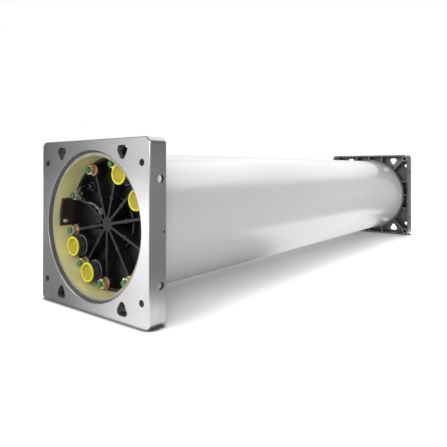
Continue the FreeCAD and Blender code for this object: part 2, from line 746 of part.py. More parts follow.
def rounded_route(points):
    """Straight runs joined by tangent arcs, each arc as large as its two runs allow."""
    edges = []
    radii = []
    start = points[0]
    for before, corner, after in zip(points, points[1:], points[2:]):
        back = before - corner
        ahead = after - corner
        half_turn = (math.pi - back.getAngle(ahead)) / 2
        reach = 0.45 * min(back.Length, ahead.Length)
        radius = reach / math.tan(half_turn)
        back.normalize()
        ahead.normalize()
        middle = (back + ahead).normalize()
        arc_start = corner + back * reach
        arc_end = corner + ahead * reach
        centre = corner + middle * (radius / math.cos(half_turn))
        edges.append(Part.LineSegment(start, arc_start).toShape())
        edges.append(Part.Arc(arc_start, centre - middle * radius, arc_end).toShape())
        radii.append(round(radius, 1))
        start = arc_end
    edges.append(Part.LineSegment(start, points[-1]).toShape())
    return Part.Wire(edges), radii


def power_lead():
    """Short jumper lead held between the gland and the lug, drawn in the sector's own frame."""
    turn = math.radians(number("size.lug_turn"))
    barrel_depth = number(BARREL_DEPTH)
    reach = number("size.lug_barrel_end")
    towards = Vector(-math.sin(turn), math.cos(turn), 0)
    end = Vector(0, number("size.post_circle"), -barrel_depth) + towards * reach
    start = Vector(0, number("size.gland_circle"), -number("size.gland_top_depth"))
    route = [
        start,
        start + Vector(0, 0, 19),
        Vector(-16, 100, -31),
        Vector(-20, 80, -37),
        end + towards * 13,
        end,
    ]
    spine, radii = rounded_route(route)
    print("lead length", round(spine.Length, 1), "bend radii", radii)
    section = Part.Wire(Part.Circle(start, Vector(0, 0, 1), number("size.lead_radius")).toShape())
    lead = doc.addObject("Part::Feature", "power_lead")
    lead.Shape = spine.makePipeShell([section], True, False)
    lead.setExpression("Placement", sector_frame(LEAD_STEP))
    area = math.pi * number("size.lead_radius") ** 2
    if abs(lead.Shape.Volume / (area * spine.Length) - 1) > 0.01:
        raise RuntimeError("the lead's volume is not its section times its length")
    parts.append(lead)


def check_and_export():
    """Stop on any failed feature or bad shape, then write one file per piece."""
    doc.recompute()
    for item in doc.Objects:
        if "Invalid" in item.State or "Error" in item.State:
            raise RuntimeError(f"{item.Label} failed: {item.State}")
    os.makedirs("parts", exist_ok=True)
    for item in parts:
        shape = item.Shape
        if shape.isNull() or not shape.isValid() or not shape.Solids:
            raise RuntimeError(f"{item.Label} has no good shape")
    for item in parts:
        item.Shape.exportStep(os.path.join("parts", f"{item.Label}.step"))
        box = item.Shape.BoundBox
        print(item.Label, len(item.Shape.Solids), round(item.Shape.Volume), box)


fill_sheet()
end_plate("front_end_plate", FRONT)
end_plate("rear_end_plate", REAR)
pressure_vessel()
end_cap("front_end_cap", FRONT_CAP, with_ports=True)
end_cap("rear_end_cap", REAR_CAP, with_ports=False)
cap_seals()
tie_rods()
nut_set("front_tie_nuts", FRONT_CAP)
nut_set("rear_tie_nuts", REAR_CAP)
for end_name, end_frame in (("front", FRONT_CAP), ("rear", REAR_CAP)):
    ring_set(f"{end_name}_washers", end_frame, "size.washer_radius", "size.washer_hole_radius",
             WASHER_DEPTH, "size.washer_thick")
port_nozzles()
for cap_number, cap_step in enumerate(PORT_STEPS, start=1):
    port_cap(cap_number, cap_step)
cell_stack()
keeper()
lead_gland()
terminal()
power_lead()
check_and_export()
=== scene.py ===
"""Studio picture of an electrodeionization module: finishes, fine hardware, light and camera.

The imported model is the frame. Castings and mouldings keep their CAD shape and get softened edges,
turned and wound pieces are made again with smooth surfaces, and small hardware such as lock washers,
thread ends and rod tips is added. Metres, +Z up, +Y along the vessel, the port end looks towards -Y.
"""

import logging
import math
from collections.abc import Callable, Iterable, Sequence
from dataclasses import dataclass
from enum import Enum, IntEnum

import bmesh
import bpy
from bpy.types import Node, NodeSocket, NodeTree
from mathutils import Matrix, Vector

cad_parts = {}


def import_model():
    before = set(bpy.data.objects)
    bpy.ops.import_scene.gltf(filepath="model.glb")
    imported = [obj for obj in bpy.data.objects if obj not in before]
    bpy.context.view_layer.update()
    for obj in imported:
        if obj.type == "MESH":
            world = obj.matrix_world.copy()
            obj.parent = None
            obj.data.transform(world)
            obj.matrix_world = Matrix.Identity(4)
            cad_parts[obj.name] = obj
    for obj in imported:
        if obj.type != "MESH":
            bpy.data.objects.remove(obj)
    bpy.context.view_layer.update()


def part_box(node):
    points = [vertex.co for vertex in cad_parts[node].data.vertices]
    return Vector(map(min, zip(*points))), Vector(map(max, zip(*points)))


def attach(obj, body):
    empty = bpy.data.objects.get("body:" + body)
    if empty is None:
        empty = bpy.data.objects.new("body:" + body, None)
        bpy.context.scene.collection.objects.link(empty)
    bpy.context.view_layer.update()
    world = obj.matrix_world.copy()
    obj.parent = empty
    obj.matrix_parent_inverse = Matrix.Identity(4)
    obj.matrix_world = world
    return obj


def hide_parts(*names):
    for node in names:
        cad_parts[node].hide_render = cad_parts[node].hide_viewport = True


LOG = logging.getLogger("edi_module")
Colour = tuple[float, float, float, float]
Point = tuple[float, float, float]
Pair = tuple[float, float]
Outline = Sequence[Pair]
MM = 0.001
MAIN_BODY = "module"


class End(Enum):
    """The two ends of the module and which way each looks along +Y."""

    FRONT = -1
    REAR = 1


class Texture(Enum):
    """The textures that finishes share, by the name of their node group."""

    GRAIN = "surface_grain"
    LAY = "surface_lay"
    SCUFFS = "surface_scuffs"


class Easing(Enum):
    """How a value changes over a reach, by the Map Range node's name for it."""

    SOFT = "SMOOTHSTEP"
    EVEN = "LINEAR"


class PlateSurface(IntEnum):
    """The surfaces of an end plate, in the order of its finishes."""

    FACE = 0
    RIM = 1
    CAST = 2
    MOUTH = 3


class TubeSurface(IntEnum):
    """The surfaces of the vessel, in the order of its finishes."""

    OUTSIDE = 0
    INSIDE = 1
    CUT = 2


# Small helpers


def grey(value: float, blue: float = 0.0) -> Colour:
    """A neutral colour, a little towards blue where asked."""
    return (value, value, value + blue, 1.0)


def radians(angles: Iterable[float]) -> tuple[float, ...]:
    """Several angles turned from degrees into radians."""
    return tuple(math.radians(angle) for angle in angles)


def put(name: str, data: bpy.types.ID) -> bpy.types.Object:
    """Add an object to the scene, at the origin.

    Args:
        name: The object's name.
        data: The mesh, curve, lamp or camera that it shows.

    Returns:
        The new object.
    """
    obj = bpy.data.objects.new(name, data)
    bpy.context.scene.collection.objects.link(obj)
    return obj


WHITE = grey(1.0)


# Node trees


class Wiring:
    """Short ways to add nodes to a tree and join their sockets.

    Attributes:
        MIX_FIRST: Number of a Mix node's input for the first colour.
        MIX_SECOND: Number of its input for the second colour.
        MIX_RESULT: Number of its output for the mixed colour.
        NOISE_REACH: The range that a noise mostly keeps to.
    """

    MIX_FIRST = 6
    MIX_SECOND = 7
    MIX_RESULT = 2
    NOISE_REACH = (0.3, 0.7)

    def __init__(self, tree: NodeTree) -> None:
        """Keep the tree that is being wired.

        Args:
            tree: A material's, world's or group's node tree.
        """
        self.tree = tree

    def feed(self, value: object, target: NodeSocket) -> None:
        """Link a socket to an input socket, or set that to a plain value.

        Args:
            value: A socket, or a value.
            target: The input socket.
        """
        if isinstance(value, NodeSocket):
            self.tree.links.new(value, target)
        else:
            target.default_value = value

    def add(self, kind: str, **settings: object) -> Node:
        """Add a node.

        Args:
            kind: The node's type name.
            **settings: Node properties, or what feeds an input socket where the name has a capital.

        Returns:
            The new node.
        """
        node = self.tree.nodes.new(kind)
        for name, value in settings.items():
            if name[0].isupper():
                self.feed(value, node.inputs[name.replace("_", " ")])
            else:
                setattr(node, name, value)
        return node

    def noise(self, place: NodeSocket, scale: object, **settings: object) -> NodeSocket:
        """Add a noise texture.

        Args:
            place: The socket that gives the place on the piece.
            scale: How fine it is, as a number or a socket.
            **settings: More of the node's input sockets.

        Returns:
            The socket of its value.
        """
        return self.add("ShaderNodeTexNoise", Vector=place, Scale=scale, **settings).outputs["Fac"]

    def blend(self, factor: NodeSocket, first: object, second: object) -> NodeSocket:
        """Mix two colours.

        Args:
            factor: The socket that says how much of the second colour shows.
            first: A colour, or a socket that puts one out.
            second: A colour, or a socket that puts one out.

        Returns:
            The mixed colour's socket.
        """
        mix = self.add("ShaderNodeMix", data_type="RGBA", Factor=factor)
        self.feed(first, mix.inputs[self.MIX_FIRST])
        self.feed(second, mix.inputs[self.MIX_SECOND])
        return mix.outputs[self.MIX_RESULT]

    def between(
        self, value: NodeSocket, reach: Pair, first: object, last: object, easing: Easing = Easing.SOFT
    ) -> NodeSocket:
        """Change from one value to another over a reach.

        Args:
            value: The socket that runs over the reach.
            reach: Where the change starts and ends.
            first: The value before it, as a number or a socket.
            last: The value after it, as a number or a socket.
            easing: Whether it changes softly or evenly.

        Returns:
            The changed value's socket.
        """
        low, high = reach
        ramp = self.add(
            "ShaderNodeMapRange", interpolation_type=easing.value,
            Value=value, From_Min=low, From_Max=high, To_Min=first, To_Max=last,
        )
        return ramp.outputs["Result"]

    def spread(self, noise: NodeSocket, low: float, high: float) -> NodeSocket:
        """Map the range that a noise mostly keeps to onto another.

        Args:
            noise: The noise's socket.
            low: What the range's lower end becomes.
            high: What its upper end becomes.

        Returns:
            The mapped value's socket.
        """
        return self.between(noise, self.NOISE_REACH, low, high, Easing.EVEN)

    def reckon(self, operation: str, first: object, second: object = 0.0) -> NodeSocket:
        """Work out one number from another, or from two.

        Args:
            operation: The Math node's operation.
            first: A number, or a socket that puts one out.
            second: A number, or a socket that puts one out.

        Returns:
            The result's socket.
        """
        node = self.add("ShaderNodeMath", operation=operation)
        self.feed(first, node.inputs[0])
        self.feed(second, node.inputs[1])
        return node.outputs["Value"]


class SurfaceGroups:
    """Node groups that several finishes share, each built once.

    Attributes:
        BAND_SHARE: Scale of a lay's slow bands as a share of its lines' scale.
        SCUFF_REACH: Noise values between which a scuff comes in.
    """

    BAND_SHARE = 0.04
    SCUFF_REACH = (0.58, 0.72)

    def __init__(self) -> None:
        """Start with no groups."""
        self.made: dict[Texture, NodeTree] = {}

    def get(self, texture: Texture) -> NodeTree:
        """A texture's group, built when it is first asked for.

        Args:
            texture: Which texture.

        Returns:
            The group's tree.
        """
        makers = {Texture.GRAIN: self.grain, Texture.LAY: self.lay, Texture.SCUFFS: self.scuffs}
        if texture not in self.made:
            self.made[texture] = makers[texture]()
        return self.made[texture]

    @staticmethod
    def begin(texture: Texture, inputs: dict[str, float], outputs: Sequence[str]) -> tuple[Wiring, Node]:
        """Start a group whose first input is the place on the piece.

        Args:
            texture: The texture that it makes.
            inputs: Names and values of its number inputs.
            outputs: Names of its number outputs.

        Returns:
            The group's wiring and its input node.
        """
        tree = bpy.data.node_groups.new(texture.value, "ShaderNodeTree")
        tree.interface.new_socket("Vector", in_out="INPUT", socket_type="NodeSocketVector")
        for label, value in inputs.items():
            socket = tree.interface.new_socket(label, in_out="INPUT", socket_type="NodeSocketFloat")
            socket.default_value = value
        for label in outputs:
            tree.interface.new_socket(label, in_out="OUTPUT", socket_type="NodeSocketFloat")
        wiring = Wiring(tree)
        return wiring, wiring.add("NodeGroupInput")

    def grain(self) -> NodeTree:
        """Fine grain of a casting or moulding over broad, faint patches."""
        wiring, start = self.begin(Texture.GRAIN, {"Grain": 900.0, "Patch": 14.0}, ("Height", "Mottle"))
        place = start.outputs["Vector"]
        fine = wiring.noise(place, start.outputs["Grain"], Detail=3.0, Roughness=0.6)
        broad = wiring.noise(place, start.outputs["Patch"], Detail=5.0, Roughness=0.55)
        wiring.add("NodeGroupOutput", Height=fine, Mottle=broad)
        return wiring.tree

    def lay(self) -> NodeTree:
        """Fine lines along one way, as drawn, turned or wound surfaces have."""
        wiring, start = self.begin(Texture.LAY, {"Pitch": 600.0, "Stretch": 0.02}, ("Height", "Mottle"))
        pitch = start.outputs["Pitch"]
        stretch = wiring.add("ShaderNodeCombineXYZ", X=1.0, Y=start.outputs["Stretch"], Z=1.0)
        drawn = wiring.add("ShaderNodeVectorMath", operation="MULTIPLY")
        wiring.feed(start.outputs["Vector"], drawn.inputs[0])
        wiring.feed(stretch.outputs["Vector"], drawn.inputs[1])
        place = drawn.outputs["Vector"]
        lines = wiring.noise(place, pitch, Detail=4.0, Roughness=0.7)
        bands = wiring.noise(place, wiring.reckon("MULTIPLY", pitch, self.BAND_SHARE), Detail=2.0)
        wiring.add("NodeGroupOutput", Height=lines, Mottle=bands)
        return wiring.tree

    def scuffs(self) -> NodeTree:
        """Sparse light rubs where a surface was handled."""
        wiring, start = self.begin(Texture.SCUFFS, {"Size": 60.0, "Amount": 0.1}, ("Mask",))
        patches = wiring.noise(
            start.outputs["Vector"], start.outputs["Size"], Detail=6.0, Roughness=0.75, Distortion=1.2
        )
        mask = wiring.between(patches, self.SCUFF_REACH, 0.0, start.outputs["Amount"], Easing.EVEN)
        wiring.add("NodeGroupOutput", Mask=mask)
        return wiring.tree


GROUPS = SurfaceGroups()

# How deep light goes into translucent pieces, in metres, and the share of that for red, green and blue
GLOW_DEPTH = 0.004
GLOW_COLOURS = (1.0, 0.8, 0.3)


@dataclass(frozen=True)
class Finish:
    """One surface finish, read from the piece's own coordinates.

    Attributes:
        name: The material's name.
        colour: Its main colour.
        shade: The colour that its patches lead to.
        rub: The colour of its scuffs.
        metallic: 1 for bare metal.
        roughness: Lowest and highest roughness over the patches.
        texture: The shared texture that it has.
        scales: Values of that texture's two inputs, grain and patch or pitch and stretch.
        depth: Height of the texture in metres.
        turn: Turn of the texture's coordinates, in degrees about each axis.
        scuff_size: Scale of the scuffs.
        scuffs: How much the scuffs show.
        coat: Weight of a clear coat.
        coat_roughness: Roughness of that coat.
        coat_ior: How strongly that coat mirrors.
        glow_through: Weight of light scattered under the surface.
    """

    name: str
    colour: Colour
    shade: Colour
    rub: Colour = (0.6, 0.6, 0.6, 1.0)
    metallic: float = 0.0
    roughness: Pair = (0.4, 0.5)
    texture: Texture = Texture.GRAIN
    scales: Pair = (900.0, 14.0)
    depth: float = 0.00002
    turn: Point = (0.0, 0.0, 0.0)
    scuff_size: float = 60.0
    scuffs: float = 0.1
    coat: float = 0.0
    coat_roughness: float = 0.1
    coat_ior: float = 1.5
    glow_through: float = 0.0

    def material(self) -> bpy.types.Material:
        """The finish as a material, built once.

        Returns:
            The material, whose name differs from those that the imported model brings.
        """
        title = f"{self.name}_finish"
        known = bpy.data.materials.get(title)
        if known is not None:
            return known
        material = bpy.data.materials.new(title)
        material.use_nodes = True
        material.diffuse_color = self.colour
        material.node_tree.nodes.clear()
        wiring = Wiring(material.node_tree)
        place = wiring.add("ShaderNodeTexCoord").outputs["Object"]
        turned = wiring.add("ShaderNodeMapping", Vector=place, Rotation=radians(self.turn))
        texture = wiring.add(
            "ShaderNodeGroup", node_tree=GROUPS.get(self.texture), Vector=turned.outputs["Vector"]
        )
        for value, socket in zip(self.scales, texture.inputs[1:]):
            socket.default_value = value
        scuffs = wiring.add(
            "ShaderNodeGroup", node_tree=GROUPS.get(Texture.SCUFFS),
            Vector=place, Size=self.scuff_size, Amount=self.scuffs,
        )
        mottle = texture.outputs["Mottle"]
        colour = wiring.blend(wiring.spread(mottle, 0.0, 1.0), self.colour, self.shade)
        bump = wiring.add("ShaderNodeBump", Distance=self.depth, Height=texture.outputs["Height"])
        shader = wiring.add(
            "ShaderNodeBsdfPrincipled",
            Base_Color=wiring.blend(scuffs.outputs["Mask"], colour, self.rub),
            Metallic=self.metallic, Roughness=wiring.spread(mottle, *self.roughness),
            Normal=bump.outputs["Normal"], Coat_Weight=self.coat,
            Coat_Roughness=self.coat_roughness, Coat_IOR=self.coat_ior,
        )
        if self.glow_through:
            shader.inputs["Subsurface Weight"].default_value = self.glow_through
            shader.inputs["Subsurface Scale"].default_value = GLOW_DEPTH
            shader.inputs["Subsurface Radius"].default_value = GLOW_COLOURS
        wiring.add("ShaderNodeOutputMaterial", Surface=shader.outputs["BSDF"])
        return material


FACE_ALLOY = Finish(
    "face_alloy", grey(0.65, 0.01), grey(0.60, 0.01), rub=grey(0.73), metallic=1.0,
    roughness=(0.15, 0.21), scales=(900.0, 9.0), depth=0.000004, scuffs=0.12,
)
# Sides and corner rounds of the plates: rougher than the face, and a darker colour as painted shade on the
# sides.
RIM_ALLOY_PAINTED_SHADE = Finish(
    "rim_alloy_painted_shade", grey(0.52), grey(0.44), rub=grey(0.62), metallic=1.0,
    roughness=(0.26, 0.36), scales=(700.0, 16.0), depth=0.00001, scuffs=0.15,
)
# Wall and bevel of the plates' mouth: rougher, and darker than the face as painted shade in the mouth, which
# also dims its highlight.
MOUTH_ALLOY_PAINTED_SHADE = Finish(
    "mouth_alloy_painted_shade", grey(0.36, 0.01), grey(0.30, 0.01), rub=grey(0.46), metallic=1.0,
    roughness=(0.36, 0.46), scales=(700.0, 16.0), depth=0.00001, scuffs=0.15,
)
# Ribbed back of the plates: as-cast grain, and a colour far darker than the face as painted shade in the
# pockets.
CAST_ALLOY_PAINTED_SHADE = Finish(
    "cast_alloy_painted_shade", grey(0.20), grey(0.13), rub=grey(0.34), metallic=0.6,
    roughness=(0.45, 0.58), scales=(520.0, 22.0), depth=0.00006, scuffs=0.15,
)
GELCOAT = Finish(
    "white_gelcoat", (0.67, 0.68, 0.69, 1.0), (0.64, 0.65, 0.66, 1.0), rub=grey(0.60),
    roughness=(0.28, 0.36), texture=Texture.LAY, scales=(220.0, 0.35),
    depth=0.00001, scuff_size=9.0, scuffs=0.06, coat=1.0, coat_roughness=0.22, coat_ior=1.65,
)
WOUND_RESIN = Finish(
    "wound_resin", (0.95, 0.92, 0.50, 1.0), (0.66, 0.61, 0.27, 1.0), rub=(0.96, 0.94, 0.66, 1.0),
    roughness=(0.32, 0.45), texture=Texture.LAY, scales=(300.0, 0.12),
    depth=0.00006, turn=(0.0, 0.0, 54.0), scuff_size=22.0, scuffs=0.5, coat=0.3,
)
# Cut ends of the tube: mottled cut fibre, darker than the wound resin as painted shade of the gap round the
# mouth.
CUT_RESIN_PAINTED_SHADE = Finish(
    "cut_resin_painted_shade", (0.40, 0.385, 0.25, 1.0), (0.32, 0.30, 0.19, 1.0), rub=(0.54, 0.52, 0.38, 1.0),
    roughness=(0.45, 0.60), scales=(600.0, 60.0), depth=0.00006, scuffs=0.3,
)
CAP_MOULDING = Finish(
    "black_moulding", grey(0.010, 0.001), grey(0.007), rub=grey(0.034),
    roughness=(0.36, 0.48), scales=(1100.0, 30.0), depth=0.00004, scuffs=0.5,
)
KEEPER_MOULDING = Finish(
    "keeper_moulding", (0.040, 0.028, 0.024, 1.0), (0.026, 0.018, 0.016, 1.0), rub=(0.10, 0.08, 0.07, 1.0),
    roughness=(0.34, 0.44), scales=(1100.0, 60.0), depth=0.00003, scuffs=0.4,
)
NOZZLE_MOULDING = Finish(
    "nozzle_moulding", (0.026, 0.023, 0.034, 1.0), (0.018, 0.016, 0.024, 1.0), rub=grey(0.08),
    roughness=(0.18, 0.28), scales=(1500.0, 40.0), depth=0.00001, scuffs=0.3,
)
# Turned grooves of the nozzles: a lighter purple-grey as a painted highlight along them.
NOZZLE_GROOVE_HIGHLIGHT = Finish(
    "nozzle_groove_painted_highlight", (0.085, 0.078, 0.115, 1.0), (0.062, 0.056, 0.086, 1.0), rub=grey(0.20),
    roughness=(0.16, 0.24), scales=(1500.0, 40.0), depth=0.00001, scuffs=0.3,
)
# Ring where a nozzle leaves its boss: a light grey that stands for the highlight on the boss's edge, a
# painted highlight.
COLLAR_PAINTED_HIGHLIGHT = Finish(
    "collar_painted_highlight", (0.34, 0.34, 0.40, 1.0), (0.24, 0.24, 0.30, 1.0), rub=grey(0.55),
    roughness=(0.20, 0.30), scales=(1500.0, 60.0), depth=0.00001, scuffs=0.4,
)
YELLOW_CAP = Finish(
    "yellow_cap", (0.86, 0.78, 0.03, 1.0), (0.80, 0.70, 0.02, 1.0), rub=(0.92, 0.90, 0.30, 1.0),
    roughness=(0.30, 0.42), scales=(1300.0, 60.0), depth=0.00002,
    scuffs=0.3, glow_through=0.15,
)
# Dish and plug of the yellow caps: the same yellow moulding, darker as painted shade in the recessed dish.
YELLOW_DISH_PAINTED_SHADE = Finish(
    "yellow_dish_painted_shade", (0.50, 0.43, 0.012, 1.0), (0.38, 0.31, 0.008, 1.0), rub=(0.66, 0.60, 0.10, 1.0),
    roughness=(0.34, 0.48), scales=(1300.0, 120.0), depth=0.00002,
    scuff_size=150.0, scuffs=0.4, glow_through=0.1,
)
ZINC_STEEL = Finish(
    "zinc_steel", (0.84, 0.80, 0.66, 1.0), (0.78, 0.68, 0.46, 1.0), rub=grey(0.85), metallic=0.75,
    roughness=(0.22, 0.34), texture=Texture.LAY, scales=(1800.0, 0.2), depth=0.00001,
)
PASSIVATED_ZINC = Finish(
    "passivated_zinc", (0.84, 0.36, 0.22, 1.0), (0.80, 0.58, 0.26, 1.0), rub=(0.86, 0.78, 0.50, 1.0),
    metallic=0.75, roughness=(0.24, 0.36), scales=(2500.0, 120.0),
    depth=0.00001, scuff_size=200.0, scuffs=0.5,
)
ROD_STEEL = Finish(
    "rod_steel", (0.60, 0.59, 0.56, 1.0), (0.50, 0.48, 0.44, 1.0), metallic=1.0,
    roughness=(0.25, 0.40), texture=Texture.LAY, scales=(1500.0, 0.1), depth=0.00001,
)
GREEN_TIP = Finish(
    "green_tip", (0.075, 0.27, 0.075, 1.0), (0.035, 0.15, 0.040, 1.0), rub=(0.25, 0.45, 0.20, 1.0),
    roughness=(0.35, 0.45), scales=(1500.0, 90.0), glow_through=0.1,
)
SEAL_RUBBER = Finish(
    "seal_rubber", grey(0.02), grey(0.03), rub=grey(0.06), roughness=(0.55, 0.70),
    scales=(1600.0, 50.0), depth=0.00002,
)
LEAD_JACKET = Finish(
    "lead_jacket", grey(0.008), grey(0.011), rub=grey(0.03), roughness=(0.15, 0.22),
    texture=Texture.LAY, scales=(900.0, 0.3), depth=0.00002, coat=0.4,
)
GLAND_NYLON = Finish(
    "gland_nylon", grey(0.020), grey(0.014), rub=grey(0.06), roughness=(0.32, 0.42),
    scales=(1700.0, 70.0), depth=0.00002, scuffs=0.3,
)
TINNED_COPPER = Finish(
    "tinned_copper", (0.30, 0.29, 0.27, 1.0), (0.20, 0.19, 0.17, 1.0), metallic=1.0,
    roughness=(0.34, 0.46), scales=(2200.0, 160.0), depth=0.00001,
)
TERMINAL_STEEL = Finish(
    "terminal_steel", (0.24, 0.235, 0.22, 1.0), (0.15, 0.145, 0.14, 1.0), rub=grey(0.50), metallic=1.0,
    roughness=(0.38, 0.50), texture=Texture.LAY, scales=(1500.0, 0.1), depth=0.00001,
)
PIN_NYLON = Finish(
    "pin_nylon", (0.46, 0.44, 0.38, 1.0), (0.38, 0.36, 0.30, 1.0), roughness=(0.35, 0.45),
    scales=(1500.0, 90.0), glow_through=0.1,
)
ELECTRODE = Finish(
    "electrode_metal", grey(0.40), grey(0.34), metallic=1.0, roughness=(0.40, 0.55),
    scales=(1200.0, 30.0), depth=0.00003,
)
MEMBRANE = Finish(
    "membrane_film", (0.70, 0.55, 0.32, 1.0), (0.62, 0.46, 0.26, 1.0), roughness=(0.40, 0.50),
    scales=(2000.0, 25.0), depth=0.00001,
)
SPACER = Finish(
    "spacer_moulding", grey(0.74), grey(0.68), roughness=(0.45, 0.55),
    scales=(1200.0, 20.0), depth=0.00002,
)
RESIN_BEADS = Finish(
    "resin_beads", (0.55, 0.32, 0.08, 1.0), (0.40, 0.20, 0.04, 1.0), roughness=(0.30, 0.50),
    scales=(1400.0, 500.0), depth=0.0002,
)


# Meshes


# Distances in metres: points that are one on a CAD mesh, points that are one at a spin's seam,
# and how near the axis a point is on it
MERGE_REACH = 2e-6
SEAM_REACH = 1e-7
ON_AXIS = 1e-6

# Faces around a turned piece, where nothing else is said
ROUND_STEPS = 96


def ring_outline(inner: float, outer: float, foot: float, top: float) -> Outline:
    """The four corners of a plain ring's section."""
    return [(inner, foot), (outer, foot), (outer, top), (inner, top)]


class Shape:
    """A mesh in the making, shaped by bmesh operators.

    Attributes:
        NUT_SIDE: Angle that one side of a nut takes up, in degrees.
        NUT_STEPS: Faces around a nut.
        NUT_SINK: Width and depth of the countersink round its hole, in millimetres.
        NUT_INNER: How far from the hole the hexagon starts, in millimetres.
        NUT_LEVEL: How near a point lies to a nut's face to count as on it, in millimetres.
        NUT_CHAMFER: Slope of the turned corners.
        CORNER_SEGMENTS: Faces across the round on an outline's corner.
    """

    NUT_SIDE = 60.0
    NUT_STEPS = 60
    NUT_SINK = 1.0
    NUT_INNER = 1.5
    NUT_LEVEL = 0.01
    NUT_CHAMFER = math.tan(math.radians(30.0))
    CORNER_SEGMENTS = 3

    def __init__(self) -> None:
        """Start empty."""
        self.bm = bmesh.new()

    @classmethod
    def of_node(cls, node: str, flat_angle: float = 0.4) -> "Shape":
        """A CAD node's form, with its loose triangles merged and its flat faces joined.

        Args:
            node: The node's name.
            flat_angle: The most that joined faces may turn, in degrees.

        Returns:
            The shape.
        """
        shape = cls()
        shape.bm.from_mesh(bpy.data.objects[node].data)
        bmesh.ops.remove_doubles(shape.bm, verts=shape.bm.verts, dist=MERGE_REACH)
        bmesh.ops.dissolve_limit(
            shape.bm, angle_limit=math.radians(flat_angle), verts=shape.bm.verts, edges=shape.bm.edges
        )
        return shape

    @classmethod
    def turned(cls, outline: Outline, rounding: float = 0.0, steps: int = ROUND_STEPS) -> "Shape":
        """A closed outline spun about the z axis.

        Args:
            outline: Pairs of radius and height in millimetres, in order.
            rounding: Size of the round on its corners, in millimetres.
            steps: Faces around.

        Returns:
            The shape.
        """
        shape = cls()
        bm = shape.bm
        corners = shape.trace(outline)
        for ends in zip(corners, corners[1:] + corners[:1]):
            bm.edges.new(ends)
        if rounding:
            off_axis = [v for v in corners if v.co.x > ON_AXIS]
            shape.bevel(off_axis, rounding, cls.CORNER_SEGMENTS, "VERTICES")
        on_axis = [e for e in bm.edges if all(abs(v.co.x) < ON_AXIS for v in e.verts)]
        bmesh.ops.delete(bm, geom=on_axis, context="EDGES")
        shape.spin(bm.verts[:] + bm.edges[:], math.tau, steps)
        bmesh.ops.remove_doubles(bm, verts=bm.verts, dist=SEAM_REACH)
        bmesh.ops.recalc_face_normals(bm, faces=bm.faces)
        return shape

    @classmethod
    def hexagon(cls, flats: float, foot: float, top: float, bore: float) -> "Shape":
        """A hexagon nut about the z axis, with turned corners and a countersunk bore.

        Args:
            flats: Size across the flats in millimetres.
            foot: Height of its lower face.
            top: Height of its upper face.
            bore: Radius of the hole.

        Returns:
            The shape.
        """
        sink = cls.NUT_SINK
        corner = flats / math.sqrt(3.0)
        outline = [(bore, foot), (corner, foot), (corner, (foot + top) / 2), (corner, top)]
        shape = cls.turned(outline + [(bore + sink, top), (bore, top - sink)], steps=cls.NUT_STEPS)
        for vert in shape.bm.verts:
            radius = math.hypot(vert.co.x, vert.co.y) / MM
            if radius < bore + cls.NUT_INNER:
                continue
            around = math.degrees(math.atan2(vert.co.y, vert.co.x)) % cls.NUT_SIDE - cls.NUT_SIDE / 2
            reach = flats / 2 / math.cos(math.radians(around))
            vert.co.xy *= reach / radius
            drop = (reach - flats / 2) * cls.NUT_CHAMFER
            if abs(vert.co.z / MM - top) < cls.NUT_LEVEL:
                vert.co.z -= drop * MM
            elif abs(vert.co.z / MM - foot) < cls.NUT_LEVEL:
                vert.co.z += drop * MM
        return shape

    def trace(self, outline: Outline) -> list[bmesh.types.BMVert]:
        """Add an outline's corners in the xz plane, from pairs of radius and height in millimetres."""
        return [self.bm.verts.new((radius * MM, 0.0, height * MM)) for radius, height in outline]

    def spin(self, parts: Sequence[object], angle: float, steps: int) -> None:
        """Spin parts about the z axis, and close a full turn.

        Args:
            parts: What is spun.
            angle: How far, in radians.
            steps: Faces around.
        """
        bmesh.ops.spin(
            self.bm, geom=parts, axis=(0, 0, 1), cent=(0, 0, 0), angle=angle, steps=steps,
            use_merge=angle == math.tau,
        )

    def bevel(self, parts: Sequence[object], width: float, segments: int, affect: str) -> None:
        """Round some of the shape's vertices or edges.

        Args:
            parts: What is rounded.
            width: Size of the round in millimetres.
            segments: Faces across the round.
            affect: VERTICES or EDGES.
        """
        bmesh.ops.bevel(
            self.bm, geom=parts, offset=width * MM, offset_type="OFFSET", segments=segments,
            profile=0.5, affect=affect, clamp_overlap=True, material=-1,
        )

    def soften(self, width: float, angle: float = 28.0, segments: int = 2) -> "Shape":
        """Round every sharp edge.

        Args:
            width: Size of the round in millimetres.
            angle: Edges that turn more than this are sharp, in degrees.
            segments: Faces across the round.

        Returns:
            The shape itself.
        """
        limit = math.radians(angle)
        sharp = [e for e in self.bm.edges if len(e.link_faces) == 2 and e.calc_face_angle() > limit]
        self.bevel(sharp, width, segments, "EDGES")
        return self

    def place(self, matrix: Matrix) -> "Shape":
        """Move the whole shape."""
        bmesh.ops.transform(self.bm, matrix=matrix, verts=self.bm.verts)
        return self

    def dress(self, rule: Callable[[bmesh.types.BMFace], int]) -> "Shape":
        """Give each face the number of its finish.

        Args:
            rule: Takes a face and says which of the piece's finishes it has.

        Returns:
            The shape itself.
        """
        for face in self.bm.faces:
            face.material_index = rule(face)
        return self

    def repeated(self, matrices: Iterable[Matrix]) -> "Shape":
        """The shape copied to each place, in one mesh.

        Args:
            matrices: Where the copies go.

        Returns:
            A new shape that holds all the copies.
        """
        single = bpy.data.meshes.new("single")
        self.bm.to_mesh(single)
        many = Shape()
        for matrix in matrices:
            before = len(many.bm.verts)
            many.bm.from_mesh(single)
            many.bm.verts.ensure_lookup_table()
            bmesh.ops.transform(many.bm, matrix=matrix, verts=many.bm.verts[before:])
        bpy.data.meshes.remove(single)
        return many

